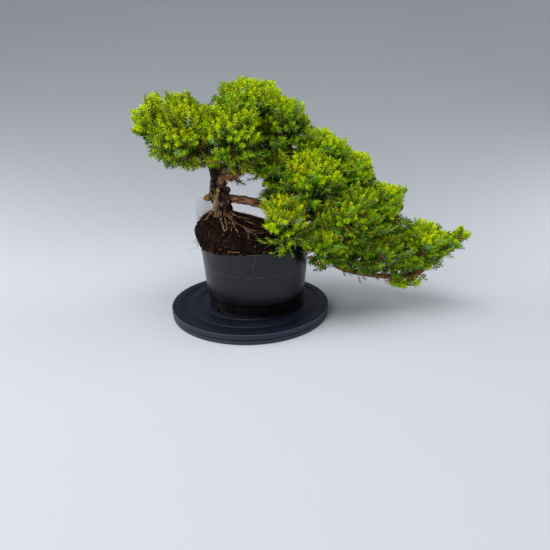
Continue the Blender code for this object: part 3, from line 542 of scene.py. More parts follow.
class Bundle:
    """Vertices and faces of many small closed shapes, gathered for one piece."""

    def __init__(self):
        self.vertices = []
        self.reliefs = []
        self.faces = {3: [], 4: []}
        self.count = 0

    def add(self, vertices, *faces, relief=None):
        """vertices: (shapes, points, 3); faces: indices into one shape's points; relief: see add_relief."""
        shapes, points = vertices.shape[:2]
        starts = self.count + points * np.arange(shapes)
        for part in map(np.asarray, faces):
            if not len(part):
                continue
            whole = (starts[:, None, None] + part[None]).reshape(-1, part.shape[1])
            self.faces[part.shape[1]].append(whole)
        self.vertices.append(vertices.reshape(-1, 3))
        if relief is not None:
            self.reliefs.append(relief.ravel())
        self.count += shapes * points

    def piece(self, name, material, slot, smooth=False):
        faces = [np.concatenate(part) for part in self.faces.values() if part]
        piece = mesh_piece(name, np.concatenate(self.vertices), faces, material, smooth)
        if self.reliefs:
            add_relief(piece.data, np.concatenate(self.reliefs))
        return piece


def tube_faces(rings, sides):
    """Quads and caps of a tube with so many rings. A cap of three or four corners is one face."""
    quads = []
    for ring in range(rings - 1):
        for side in range(sides):
            after = (side + 1) % sides
            low, high = ring * sides, (ring + 1) * sides
            quads.append((low + side, low + after, high + after, high + side))
    last = (rings - 1) * sides
    triangles = []
    for side in range(1, sides - 1):
        triangles.append((0, side + 1, side))
        triangles.append((last, last + side, last + side + 1))
    return quads, triangles


def add_tubes(bundle, paths, radii, sides=3):
    """Tubes round many paths at once. paths: (tubes, points, 3), radii: (tubes, points)."""
    count, rings = paths.shape[:2]
    along = np.empty_like(paths)
    along[:, 1:-1] = paths[:, 2:] - paths[:, :-2]
    along[:, 0] = paths[:, 1] - paths[:, 0]
    along[:, -1] = paths[:, -1] - paths[:, -2]
    along = unit(along)
    across, _ = frames(unit(paths[:, -1] - paths[:, 0]))
    across = unit(across[:, None] - along * np.sum(across[:, None] * along, axis=-1, keepdims=True))
    side = np.cross(along, across)
    turns = around(sides)
    ring = across[:, :, None] * np.cos(turns)[:, None] + side[:, :, None] * np.sin(turns)[:, None]
    vertices = paths[:, :, None] + ring * radii[:, :, None, None]
    bundle.add(vertices.reshape(count, rings * sides, 3), *tube_faces(rings, sides))


def bezier(start, middle, end, shares):
    """Points on many quadratic curves. start, middle, end: (curves, 3)."""
    t = np.asarray(shares)[None, :, None]
    a, b, c = (point[:, None] for point in (start, middle, end))
    return a * (1 - t) ** 2 + b * 2 * t * (1 - t) + c * t**2


# ---- limbs ----


def between(before, start, end, after, part):
    """A point part of the way from start to end, on a Catmull-Rom curve through all four."""
    linear_part = 2 * start + (end - before) * part
    square = (2 * before - 5 * start + 4 * end - after) * part**2
    cube = (3 * start - before - 3 * end + after) * part**3
    return (linear_part + square + cube) / 2


def smooth_path(points, steps):
    """A Catmull-Rom curve through the points, with so many stretches between each two of them."""
    knots = [np.array(point, dtype=float) for point in points]
    knots = [knots[0] * 2 - knots[1], *knots, knots[-1] * 2 - knots[-2]]
    path = []
    for four in zip(knots, knots[1:], knots[2:], knots[3:]):
        path += [between(*four, step / steps) for step in range(steps)]
    return np.array([*path, knots[-2]])


def limb_line(points, radii, steps):
    """Centre points and radii along a limb, in metres."""
    path = smooth_path(points, steps) * MM
    return path, np.interp(np.linspace(0, len(radii) - 1, len(path)), range(len(radii)), radii) * MM


def walk(path):
    """How far along the path each of its points lies."""
    return np.concatenate(([0], np.cumsum(np.linalg.norm(np.diff(path, axis=0), axis=1))))


def after_walk(path, walked, lengths):
    """The places on the path after walking so far."""
    return np.stack([np.interp(lengths, walked, path[:, axis]) for axis in range(3)], axis=-1)


def point_on(path, share):
    walked = walk(path)
    return after_walk(path, walked, share * walked[-1])


def norms(points):
    """How far out each point is in every mass's space: (points, masses)."""
    offsets = (points[:, None] - CENTRES[None]) / HALVES[None]
    return np.sum(np.abs(offsets) ** BOXINESS, axis=-1) ** (1 / BOXINESS)


def outline_room(points):
    """How far inside the front outline points lie, and how far outside as a number below 0."""
    eye = np.array(FRONT_EYE) * MM
    share = -eye[1] / (points[:, 1:2] - eye[1])
    flat = eye[[0, 2]] + (points[:, [0, 2]] - eye[[0, 2]]) * share
    knots = np.array(OUTLINE) * MM
    sides = np.roll(knots, -1, axis=0) - knots
    offsets = flat[:, None] - knots
    along = np.clip(np.sum(offsets * sides, axis=-1) / np.sum(sides**2, axis=1), 0, 1)
    away = np.linalg.norm(offsets - along[..., None] * sides, axis=-1).min(axis=1)
    crosses = (offsets[..., 1] < 0) != (offsets[..., 1] < sides[:, 1])
    level = np.where(np.abs(sides[:, 1]) < TINY, TINY, sides[:, 1])
    before = offsets[..., 0] < offsets[..., 1] / level * sides[:, 0]
    inside = (crosses & before).sum(axis=1) % 2 == 1
    room = np.where(inside, away, -away)
    for place, radius in HOLES:
        room = np.minimum(room, np.linalg.norm(flat - np.array(place) * MM, axis=1) - radius * MM)
    return room


def blended(all_norms):
    """How far out points are in all the spaces melted together."""
    return (all_norms**-BLEND).sum(axis=1) ** (-1 / BLEND)


def side_limb(mass, lines, steps):
    """A side bough from its parent into the mass that it carries."""
    parent, share, _, _ = MASSES[mass]
    index = NAMES.index(mass)
    start = point_on(lines[parent][0], share)
    centre = CENTRES[index]
    reach = 1.0
    shortest = SHORTEST_BOUGH / np.linalg.norm(centre - start)
    while reach > shortest and norms((start + (centre - start) * reach)[None])[0, index] < BOUGH_ENTRY:
        reach -= SHARE_STEP
    end = start + (centre - start) * reach
    middle = (start + end) / 2 + UP * np.linalg.norm(end - start) * SIDE_RISE
    return limb_line((start / MM, middle / MM, end / MM), SIDE_RADII, steps)


def plan_limbs(steps):
    """Every limb's path and radii, and which limb carries each mass."""
    lines = {name: limb_line(points, radii, steps) for name, (_, points, radii) in LIMBS.items()}
    carriers = {}
    for mass, (parent, share, _, _) in MASSES.items():
        carriers[mass] = parent if share == 1.0 else "side_bough_" + mass
        if share < 1.0:
            lines[carriers[mass]] = side_limb(mass, lines, steps)
    return lines, carriers


class Wood:
    """The limbs and the trunk as stretches, to tell how far points are from their bark."""

    def __init__(self, lines):
        self.starts = np.concatenate([path[:-1] for path, _ in lines])
        self.along = np.concatenate([np.diff(path, axis=0) for path, _ in lines])
        self.radii = np.concatenate([radii[:-1] for _, radii in lines])
        self.squares = np.sum(self.along**2, axis=1)

    def distance(self, points):
        offsets = points[:, None] - self.starts
        shares = np.clip(np.sum(offsets * self.along, axis=-1) / self.squares, 0, 1)
        away = np.linalg.norm(offsets - shares[..., None] * self.along, axis=-1) - self.radii
        return away.min(axis=1)


# ---- sizes of the turntable, the pot and the root ball, close to the solids ----
TABLE_RADIUS = 115 * MM
TABLE_HEIGHT = 13.6 * MM
BASE_RADIUS = 114.2 * MM
SLIT = 1.4 * MM  # the dark gap between the two discs
SLIT_HEIGHT = 5.6 * MM
RIB_EDGES = (0.891, 0.796, 0.692, 0.597)  # of the two grooves, as shares of the radius
RIB_DEPTH = 0.9 * MM
POT_AXIS = np.array((8.2, 2.0, 0)) * MM
POT_BASE = 13.9 * MM
RIM_HEIGHT = 105.5 * MM
RIM_RADIUS = 77.0 * MM
WALL_FOOT_HEIGHT = 33 * MM
WALL_FOOT_RADIUS = 71.2 * MM
FOOT_TOP_HEIGHT = 29 * MM
FOOT_TOP_RADIUS = 69.4 * MM
FOOT_RADIUS = 68.4 * MM
WALL = 1.8 * MM
FLOOR = 2.4 * MM
SEAT = np.array((-39, 2, 141.5)) * MM  # where the trunk stands on the mound
SEAT_RADIUS = 23 * MM
HANG_TURN = math.radians(190)  # the way the mound leans out over the rim
HANG_SPREAD = math.radians(115)
LIP_STARTS = 0.03
WAIST_RADIUS = 84 * MM
WAIST_HEIGHT = 124 * MM
SHOULDER_RADIUS = 74 * MM
SHOULDER_HEIGHT = 138 * MM
LOW_SIDE_HEIGHT = 107.5 * MM
MOUND_BELLY = 0.12
INNER_STEPS = (0.5 * MM, 3 * MM, 9 * MM)
RIM_COVER = 1.5 * MM
SOIL_GAP = 0.5 * MM


def hang(turns):
    """How far the mound hangs over the rim, from 0 to 1, by the direction from the pot's axis."""
    away = np.abs((turns - HANG_TURN + math.pi) % math.tau - math.pi)
    share = np.maximum(0.0, 1 - away / HANG_SPREAD)
    return share * share * (3 - 2 * share)


def mound_side(turns):
    """Points up the mound's side, for many directions at once: (levels, directions, 3)."""
    share = hang(turns)
    lip = np.minimum(1, share / LIP_STARTS)
    inner = RIM_RADIUS - WALL - SOIL_GAP
    over_rim = RIM_HEIGHT + 0.6 * MM
    edge, waist, shoulder = INNER_STEPS

    def blend(low, high, part=share):
        return low + (high - low) * part

    levels = (
        (np.full_like(turns, inner), blend(RIM_HEIGHT - 2 * MM, over_rim, lip)),
        (blend(inner - edge, RIM_RADIUS + RIM_COVER), blend(RIM_HEIGHT - 1.5 * MM, over_rim, lip)),
        (blend(inner - waist, WAIST_RADIUS), blend(LOW_SIDE_HEIGHT - 1 * MM, WAIST_HEIGHT)),
        (blend(inner - shoulder, SHOULDER_RADIUS), blend(LOW_SIDE_HEIGHT, SHOULDER_HEIGHT)),
    )
    out = compass(turns)
    return np.array([POT_AXIS + out * radius[:, None] + UP * height[:, None] for radius, height in levels])


def mound_top(turns, shares):
    """Points on top of the mound: share 0 is the edge of the trunk's seat and 1 the shoulder."""
    seat_edge = SEAT + compass(turns) * SEAT_RADIUS
    shoulder = mound_side(turns)[-1]
    belly = np.sin(math.pi * shares) * (seat_edge[:, 2] - shoulder[:, 2]) * MOUND_BELLY
    return seat_edge + (shoulder - seat_edge) * shares[:, None] + UP * belly[:, None]


def soil_heights(points):
    """The height of the soil's top under each point inside the pot's rim."""
    offsets = points[:, :2] - SEAT[:2]
    reach = np.linalg.norm(offsets, axis=1)
    turns = np.arctan2(offsets[:, 1], offsets[:, 0])
    far = mound_side(turns)[-1][:, :2] - SEAT[:2]
    span = np.linalg.norm(far, axis=1) - SEAT_RADIUS
    shares = np.clip((reach - SEAT_RADIUS) / span, 0, 1)
    heights = mound_top(turns, shares)[:, 2]
    return np.where(reach < SEAT_RADIUS, SEAT[2], heights)


def pot_distance(points):
    """How far points are outside the pot and the root ball, and how far inside as a number below 0."""
    outward = np.linalg.norm(points[:, :2] - POT_AXIS[:2], axis=1) - RIM_RADIUS
    return np.maximum(outward, points[:, 2] - soil_heights(points))


# ---- foliage ----


def curve_points(curve, shares):
    """Points along one quadratic curve, and which way it runs there."""
    start, middle, end = curve
    points = bezier(start[None], middle[None], end[None], shares)[0]
    return points, unit((middle - start) * (1 - shares)[:, None] + (end - middle) * shares[:, None])


def sphere_directions(count, draws):
    """Directions spread evenly over a sphere by the golden angle, each a little astray."""
    index = np.arange(count)
    height = 1 - 2 * (index + 0.5) / count
    radius = np.sqrt(1 - height * height)
    even = np.stack((radius * np.cos(GOLDEN * index), radius * np.sin(GOLDEN * index), height), axis=-1)
    return unit(even + draws.uniform(-TWIG_STRAY, TWIG_STRAY, (count, 3)))


def spread_out(index, count, draws):
    """Directions all round a mass, and the steps from its centre to its space's surface that way."""
    directions = sphere_directions(count, draws)
    offsets = directions * HALVES[index]
    return directions, offsets / norms(CENTRES[index] + offsets)[:, index][:, None]


class Foliage:
    """Grows all the masses and gathers their twigs and needles by tint."""

    def __init__(self, lines, carriers):
        self.lines = lines
        self.carriers = carriers
        self.light = 0
        self.green = GREEN_ELSEWHERE
        short = [(path[::2], radii[::2]) for path, radii in lines.values()]
        self.wood = Wood([*short, limb_line(TRUNK_PATH, TRUNK_RADII, 2)])
        self.branches = Bundle()
        self.twigs = Bundle()
        self.shoots = Bundle()
        self.needles = {name: Bundle() for name, _ in NEEDLE_TINTS}

    def allowed(self, mass_index, points, clearance=WOOD_CLEARANCE):
        """Whether each point is in the mass's own space and the outline, clear of wood, pot and soil."""
        if mass_index is BOUGHS_ONLY:
            return outline_room(points) > OUTLINE_MARGIN
        all_norms = norms(points)
        own = all_norms[:, mass_index]
        others = np.delete(all_norms, mass_index, axis=1).min(axis=1)
        swing = np.array([noise.noise(Vector(point) / EDGE_LUMP) for point in points])
        edge = SPACE_EDGE + EDGE_SWING * swing
        inside = (blended(all_norms) < edge) & (own < others + NEIGHBOUR_OVERLAP)
        inside &= outline_room(points) > OUTLINE_MARGIN
        return inside & (self.wood.distance(points) > clearance) & (pot_distance(points) > POT_CLEARANCE)

    def add_needles(self, draws, starts, along, turns, leans, lengths, levels, tints):
        """One lance-shaped needle, a closed solid of four faces, for each row of the arrays."""
        across, side = frames(along, turns)
        direction = along * np.cos(leans)[:, None] + across * np.sin(leans)[:, None]
        upper = along * np.sin(leans)[:, None] - across * np.cos(leans)[:, None]
        half = side * NEEDLE_WIDTH / 2 * draws.uniform(*UNLIKE_SIZE, len(starts))[:, None]
        widest = starts + direction * lengths[:, None] * NEEDLE_WIDEST + upper * NEEDLE_DEPTH
        tips = starts + direction * lengths[:, None]
        vertices = np.stack((starts, widest + half, widest - half, tips), axis=1)
        faces = ((0, 2, 1), (1, 2, 3), (0, 1, 3), (0, 3, 2))
        for number, (name, _) in enumerate(tints):
            chosen = levels == number
            if chosen.any():
                self.needles[name].add(vertices[chosen], faces)

    def clothe(self, draws, curve, shares, kind, light, tints):
        """Whorls of needles along a stretch of a curve. kind: whorl step, angles, needle lengths."""
        start, middle, end = curve
        step, angles, sizes = kind
        length = (np.linalg.norm(middle - start) + np.linalg.norm(end - middle)) * (shares[1] - shares[0])
        whorls = max(int(length / step), 1)
        grown = (np.arange(whorls) + 0.5) / whorls
        at = shares[0] + (shares[1] - shares[0]) * grown
        points, tangents = curve_points(curve, at)
        turns = np.arange(whorls)[:, None] * WHORL_TURN + np.arange(3)[None] * math.tau / 3
        turns = turns + draws.uniform(0, math.tau) + draws.uniform(-TURN_STRAY, TURN_STRAY, (whorls, 3))
        leans = np.radians(angles[0] + (angles[1] - angles[0]) * grown**LEAN_CURVE)[:, None]
        leans = leans + draws.uniform(-LEAN_STRAY, LEAN_STRAY, (whorls, 3))
        lengths = (sizes[0] + (sizes[1] - sizes[0]) * grown)[:, None]
        lengths = lengths * draws.uniform(*UNLIKE_LENGTH, (whorls, 3))
        levels = light[0] + (light[1] - light[0]) * grown[:, None]
        levels = levels + draws.uniform(-TINT_STRAY, TINT_STRAY, (whorls, 3))
        levels = np.clip(np.rint(levels), 0, len(tints) - 1).ravel().astype(int)
        starts, along = np.repeat(points, 3, axis=0), np.repeat(tangents, 3, axis=0)
        self.add_needles(draws, starts, along, turns.ravel(), leans.ravel(), lengths.ravel(), levels, tints)

    def grow(self, mass):
        """One mass: its stem, its forks, and twigs of each kind."""
        index = NAMES.index(mass)
        word = mass.split("_")[0]
        self.light = MASS_LIGHT.get(word, 0)
        self.green = GREEN_SHARE.get(word, GREEN_ELSEWHERE)
        draws = np.random.default_rng((SEED, index))
        centre, half = CENTRES[index], HALVES[index]
        hub = self.grow_stem(mass, centre)
        forks = self.grow_branches(draws, index, hub)
        surface = 4 * math.pi * ((half[0] * half[1] + half[1] * half[2] + half[2] * half[0]) / 3)
        outer = int(surface / TWIG_SPACING**2)
        for kind, (share, reach, _) in TWIG_KINDS.items():
            count = int(outer * share)
            directions, offsets = spread_out(index, count, draws)
            shares = draws.uniform(*reach, (count, 1))
            if kind == "outer":
                low = directions[:, 2:] < SPRAY_BELOW
                shares = np.where(low, draws.uniform(*UNDER_REACH, (count, 1)), shares)
            ends = centre + offsets * shares
            good = self.allowed(index, ends)
            for end in ends[good]:
                self.grow_twig(draws, index, forks, end, kind)

    def grow_stem(self, mass, centre):
        """On from the bough's tip to the middle of the mass."""
        path, radii = self.lines[self.carriers[mass]]
        along = unit(path[-1] - path[-2])
        start = path[-1] - along * 1.0 * MM
        end = start + (centre - start) * STEM_REACH
        middle = start + along * np.linalg.norm(end - start) * 0.5
        points = bezier(start[None], middle[None], end[None], np.linspace(0, 1, STEM_KNOTS))
        sizes = np.linspace(radii[-1], BRANCH_RADII[0], STEM_KNOTS)[None]
        add_tubes(self.branches, points, sizes, STEM_SIDES)
        return points[0]

    def grow_branches(self, draws, index, hub):
        """The forks inside the mass. Returns points along them where twigs may start."""
        _, offsets = spread_out(index, BRANCHES, draws)
        ends = CENTRES[index] + offsets * draws.uniform(*BRANCH_REACH, (BRANCHES, 1))
        starts = hub[draws.integers(STEM_BARE, STEM_KNOTS, BRANCHES)]
        middles = (starts + ends) / 2 - UP * np.linalg.norm(ends - starts, axis=1)[:, None] * TWIG_DROOP
        paths = bezier(starts, middles, ends, np.linspace(0, 1, BRANCH_KNOTS))
        radii = np.tile(np.linspace(*BRANCH_RADII, BRANCH_KNOTS), (BRANCHES, 1))
        add_tubes(self.branches, paths, radii, BRANCH_SIDES)
        return np.concatenate((paths[:, 2:].reshape(-1, 3), hub[STEM_BARE:]))

    def grow_twig(self, draws, index, forks, end, kind):
        """One twig from the nearest fork that lies further in. It ends in a head or a spray."""
        centre, half = CENTRES[index], HALVES[index]
        outward = unit(end - centre)
        score = np.linalg.norm(forks - end, axis=1) + OUTWARD_COST * np.maximum(0, (forks - centre) @ outward)
        start = forks[np.argmin(score)]
        length = np.linalg.norm(end - start)
        stray = draws.uniform(-TWIG_STRAY, TWIG_STRAY, 3) * length
        middle = start + (end - start) * TWIG_BEND - UP * length * TWIG_DROOP + stray
        twig = (start, middle, end)
        height = (end[2] - centre[2]) / half[2]
        light = TWIG_KINDS[kind][2] + self.light + HEIGHT_LIGHT * height + draws.normal(0, LIGHT_SPREAD)
        if kind == "inner" and draws.random() < DEAD_SHARE:
            self.clothe(draws, twig, (TWIG_BARE, 1), OLD_NEEDLES, (0, 0), [DEAD])
        else:
            if kind != "outer" or outward[2] < SPRAY_BELOW:
                grown = self.grow_spray(draws, index, twig, light)
            else:
                grown = self.grow_head(draws, index, twig, outward, light)
            if not grown:
                return
            self.clothe_old(draws, twig, (TWIG_BARE, 1), OLD_NEEDLES, light)
        self.add_twig(twig)

    def add_twig(self, twig, radii=TWIG_RADII):
        path = bezier(*(point[None] for point in twig), np.linspace(0, 1, TWIG_KNOTS))
        add_tubes(self.twigs, path, np.linspace(*radii, TWIG_KNOTS)[None], TWIG_SIDES)

    def grow_sprigs(self, row, name, first, last, half_turn):
        """Short sprays straight from a bough."""
        path, radii = self.lines[name]
        self.green = GREEN_ELSEWHERE
        draws = np.random.default_rng((SEED, SPRIG_SEEDS + row))
        length = np.linalg.norm(np.diff(path, axis=0), axis=1).sum() * (last - first)
        for share in np.linspace(first, last, int(length / SPRIG_STEP)):
            foot, ahead = point_on(path, share), point_on(path, min(share + SPRIG_AHEAD, 1))
            along = unit(ahead - foot)
            side = unit(np.cross(along, UP))
            turn = math.radians(draws.uniform(-half_turn, half_turn))
            outward = unit(np.cross(side, along)) * math.cos(turn) + side * math.sin(turn)
            heading = unit(outward + along * draws.uniform(*SPRIG_FORWARD))
            reach = draws.uniform(*SPRIG_LENGTHS)
            start = foot + outward * np.interp(share, (0, 1), (radii[0], radii[-1])) * SPRIG_SUNK
            end = start + heading * reach + UP * reach * SPRIG_RISE
            if pot_distance(end[None])[0] < POT_CLEARANCE or not self.allowed(BOUGHS_ONLY, end[None])[0]:
                continue
            middle = start + heading * reach * 0.5 - UP * reach * SPRIG_SAG
            twig = (start, middle, end)
            self.add_twig(twig)
            light = SPRIG_LIGHT + draws.normal(0, SPRIG_SPREAD)
            self.clothe_old(draws, twig, (SPRIG_BARE, 1), OLD_NEEDLES, light)
            self.grow_spray(draws, BOUGHS_ONLY, twig, light)

    def grow_brush(self, row, name, share, heading, length):
        """A dead twig with a few side twigs, and what is left of their needles. length: in mm."""
        draws = np.random.default_rng((SEED, BRUSH_SEEDS + row))
        foot = point_on(self.lines[name][0], share)
        way = unit(np.array(heading, dtype=float))
        end = foot + way * length * MM
        bend = (foot + end) / 2 + draws.normal(0, BRUSH_CROOK, 3) * length * MM
        self.add_twig((foot, bend, end), BRUSH_RADII)
        self.clothe(draws, (foot, bend, end), (BRUSH_BARE, 1), BRUSH_NEEDLES, (0, 0), [DEAD])
        for spot in np.linspace(*BRUSH_SPOTS, BRUSH_SIDES):
            start = bezier(foot[None], bend[None], end[None], [spot])[0, 0]
            side = unit(way + unit(draws.normal(0, 1, 3)) * BRUSH_SPREAD)
            tip = start + side * draws.uniform(*BRUSH_LENGTHS)
            middle = (start + tip) / 2 + draws.normal(0, 1 * MM, 3)
            self.add_twig((start, middle, tip), (BRUSH_RADII[1], BRUSH_RADII[1] * 0.6))
            tint = DEAD if draws.random() < BRUSH_PALE else WITHERED
            self.clothe(draws, (start, middle, tip), (TWIG_BARE, 1), BRUSH_NEEDLES, (0, 0), [tint])

    def grow_single(self, row, start, bend, end, light):
        """One spray where the picture shows it. Places in mm."""
        draws = np.random.default_rng((SEED, SPRAY_SEEDS + row))
        self.green = GREEN_SINGLE
        twig = tuple(np.array(point) * MM for point in (start, bend, end))
        self.add_twig(twig)
        self.clothe_old(draws, twig, (0.2, 1), OLD_NEEDLES, light + 1)
        self.grow_spray(draws, FREE, twig, light)

    def family(self, draws):
        """The tints of the next shoot."""
        return GREENER if draws.random() < self.green else TINTS

    def clothe_old(self, draws, curve, shares, kind, light):
        """A shoot's older needles, darker than its young ones by their own colour and by painted shade. Some
        are glaucous.
        """
        if draws.random() < GLAUCOUS_SHARE:
            self.clothe(draws, curve, shares, kind, (0, 0), [GLAUCOUS])
        else:
            old = light - OLD_DARKER + draws.normal(0, OLD_SPREAD)
            self.clothe(draws, curve, shares, kind, (old, old), self.family(draws))

    def grow_head(self, draws, index, twig, outward, light):
        """Lobes that fan out from the twig's last part, round its end and upwards."""
        end = twig[2]
        rise = np.clip(0.7 + 0.5 * outward[2], 0.2, 1)
        axis = unit(outward * HEAD_OUTWARD + UP * rise + draws.normal(0, HEAD_STRAY, 3))
        count = draws.integers(*HEAD_LOBES)
        share = np.sqrt((np.arange(count) + 0.3) / count)
        across, side = frames(axis[None])
        turns = GOLDEN * np.arange(count)[:, None] + draws.uniform(0, math.tau)
        spread = (share * HEAD_SPREAD)[:, None]
        directions = axis * np.cos(spread) + (across * np.cos(turns) + side * np.sin(turns)) * np.sin(spread)
        tips = end + directions * draws.uniform(*HEAD_REACH) * draws.uniform(*UNLIKE_SIZE, (count, 1))
        good = self.allowed(index, tips, LOBE_CLEARANCE)
        tips = np.where(good[:, None], tips, end + (tips - end) * LOBE_PULLED)
        feet, _ = curve_points(twig, 1 - LOBE_STARTS * share)
        lengths = np.linalg.norm(tips - feet, axis=1)
        middles = (feet + tips) / 2 + (directions - axis * 0.8) * lengths[:, None] * LOBE_BULGE
        levels = light + LOBE_LIGHT * directions[:, 2] + draws.normal(0, LIGHT_SPREAD, count)
        return self.grow_lobes(draws, index, (feet, middles, tips), levels, KNOB_REACH, KNOB_NEEDLES)

    def grow_spray(self, draws, index, twig, light):
        """Short shoots to both sides of the twig, and one on at its end."""
        length = np.linalg.norm(twig[2] - twig[0])
        count = max(int(length * (1 - SPRAY_STARTS) / SPRAY_STEP), 3)
        grown = (np.arange(count + 1) + 0.4) / (count + 0.4)
        spots = SPRAY_STARTS + (1 - SPRAY_STARTS) * grown
        feet, tangents = curve_points(twig, spots)
        side = unit(np.cross(tangents, UP) + draws.normal(0, 0.3, (count + 1, 3)))
        side[::2] *= -1
        side[-1] *= 0.1  # the last one goes straight on
        forward, outward, up = SPRAY_HEADING
        headings = unit(tangents * forward + side * outward + UP * up)
        lengths = np.interp(grown, (0, 1), SPRAY_LENGTHS) * draws.uniform(*SPRAY_UNLIKE, count + 1)
        tips = feet + headings * lengths[:, None]
        middles = feet + unit(tangents + side * SPRAY_BOW) * lengths[:, None] * SPRAY_BEND
        levels = light - SPRAY_DARKER + draws.normal(0, OLD_SPREAD, count + 1)
        return self.grow_lobes(draws, index, (feet, middles, tips), levels, WHOLE_SHOOT, SPRIG_NEEDLES)

    def grow_lobes(self, draws, index, curves, levels, knob_reach, kind):
        """Stems with older needles below and a knob of young ones at the end. Returns how many grew."""
        feet, middles, tips = curves
        good = np.full(len(tips), True) if index == FREE else self.allowed(index, tips, LOBE_CLEARANCE)
        for foot, bend, tip, level in zip(feet[good], middles[good], tips[good], levels[good]):
            curve = (foot, bend, tip)
            length = np.linalg.norm(bend - foot) + np.linalg.norm(tip - bend)
            knob = max(1 - draws.uniform(*knob_reach) / length, LOBE_BARE)
            if knob > LEAST_STEM:
                self.clothe_old(draws, curve, (LOBE_BARE, knob), LOWER_NEEDLES, level)
            lights = (level - KNOB_DARKER, level + KNOB_LIGHTER)
            self.clothe(draws, curve, (knob, 1), kind, lights, self.family(draws))
        if good.any():
            paths = bezier(feet[good], middles[good], tips[good], (0, 0.5, 1))
            radii = np.tile(np.linspace(*LOBE_RADII, 3), (int(good.sum()), 1))
            add_tubes(self.shoots, paths, radii, 3)
        return int(good.sum())


def make_foliage(lines, carriers):
    """Grows everything green. The branches stand for the solids' masses."""
    foliage = Foliage(lines, carriers)
    for mass in NAMES:
        foliage.grow(mass)
    rules = ((SPRIG_BOUGHS, foliage.grow_sprigs), (BRUSH, foliage.grow_brush), (SPRAYS, foliage.grow_single))
    for rows, grow in rules:
        for row, settings in enumerate(rows):
            grow(row, *settings)
    branch = plain_material("branch bark", (106, 76, 54), 0.85, 0.2)
    twig = plain_material("twig bark", (142, 98, 62), 0.75, 0.3)
    shoot = plain_material("young stems", (206, 170, 52), 0.6, 0.4)
    pieces = [
        foliage.branches.piece("foliage_branches", branch, "bark", True),
        foliage.twigs.piece("foliage_twigs", twig, "bark", True),
        foliage.shoots.piece("foliage_shoots", shoot, "foliage"),
    ]
    for name, colour in NEEDLE_TINTS:
        if foliage.needles[name].count:
            foliage.needles[name].piece(name, plain_material(name, colour, 0.7, 0.06), "foliage")
    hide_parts(*("foliage_" + name for name in NAMES))


# ---- wood ----

BARK_RING = 1.1 * MM  # between rings along a bough
BARK_SIDES = 22
SIDE_BARK_SIDES = 12
GRAIN = 1.7 * MM  # width of a strip of bark
GRAIN_STRETCH = 0.16  # strips run along the wood, so the grain is this much slower that way
GRAIN_DEPTH = 0.42 * MM
LUMP_SIZE = 11 * MM
TRUNK_VOXEL = 0.85 * MM
# relief of the trunk: sizes in metres, heights in mm
SWIRL_SIZE = 14 * MM
SWIRL_SHIFT = 3
TRUNK_LUMPS = ((8 * MM, 2.6), (4 * MM, 1.0))
STRIP_SIZE = 5 * MM
STRIP_HEIGHT = 1.5
STRIP_STRETCH = 0.35
TRUNK_GRAIN = 1.7  # how much rougher the trunk is than the boughs
TRUNK_SUNK = 1.0 * MM  # taken off again, so that the relief doesn't thicken the trunk
BURLS = (
    # lumps on the trunk: place and radius in mm
    ((-48, -5, 171), 6.0),
    ((-38, -9, 177), 5.5),
    ((-42, -9, 156), 5.5),
    ((-31, -6, 160), 7.0),
    ((-41, 9, 170), 7.5),
    ((-46, -5, 180), 5.0),
    ((-33, -7, 186), 4.6),
    ((-29, 2, 150), 7.5),
    ((-40, 4, 196), 6.0),
    ((-38, 6, 205), 5.5),
    ((-27, -4, 177), 4.5),
)
BURL_HEIGHTS = (-0.8, -0.4, 0, 0.4, 0.8)  # rings of a burl, as shares of its radius
BURL_RADII = (0.45, 0.85, 1.0, 0.85, 0.45)
ROOTS = (
    # surface roots: first and last radius in mm, then places: degrees round the trunk, share of the way out
    (2.0, 1.0, ((-128, -0.30), (-136, 0.10), (-148, 0.49), (-155, 0.68))),
    (2.4, 1.0, ((-86, -0.30), (-80, -0.08), (-101, 0.24), (-112, 0.60), (-115, 0.74))),
    (1.6, 0.7, ((-62, -0.25), (-68, -0.04), (-90, 0.22), (-111, 0.67))),
    (2.1, 0.9, ((-42, -0.25), (-48, -0.01), (-70, 0.18), (-84, 0.38), (-92, 0.62))),
    (1.7, 0.8, ((-50, -0.10), (-62, 0.10), (-71, 0.30), (-68, 0.41), (-74, 0.57), (-85, 0.77))),
    (1.5, 0.7, ((-69, 0.36), (-70, 0.49), (-69, 0.58), (-67, 0.68))),
    (0.7, 0.4, ((-66, -0.08), (-78, 0.12), (-84, 0.31), (-96, 0.42))),
    (1.1, 0.5, ((-66, 0.44), (-61, 0.52), (-52, 0.56), (-28, 0.52))),
    (1.0, 0.5, ((-72, 0.62), (-59, 0.61), (-45, 0.62))),
    (0.7, 0.4, ((-102, 0.63), (-91, 0.40), (-74, 0.23), (-55, 0.14))),
    (1.8, 0.6, ((-20, -0.15), (-26, 0.14), (-22, 0.34), (-30, 0.62))),
    (1.3, 0.5, ((-34, 0.05), (-40, 0.25), (-36, 0.48), (-44, 0.70))),
    (2.2, 0.8, ((28, -0.35), (34, 0.2), (24, 0.60))),
    (2.4, 0.9, ((80, -0.35), (70, 0.2), (82, 0.75))),
    (2.2, 0.8, ((125, -0.35), (118, 0.2), (130, 0.75))),
    (2.0, 0.8, ((172, -0.38), (164, 0.2), (172, 0.65))),
)
ROOT_STEPS = 6
ROOT_INWARD = 2.0  # how fast a root's start runs in under the flare, by share
ROOT_CLIMB = 20 * MM  # how fast it rises on the flare, by share
ROOT_SIDES = 9
ROOT_RING = 0.9 * MM
# collars of the limbs on the trunk: radii in mm
LIMB_FEET = {"bough_left": (6.8, 5.4), "bough_upper": (6.0, 4.8), "bough_low": (7.4, 4.6)}


def ridged(point):
    """0 in the cracks and 1 on the ridges."""
    return 1 - abs(noise.noise(point)) * 2


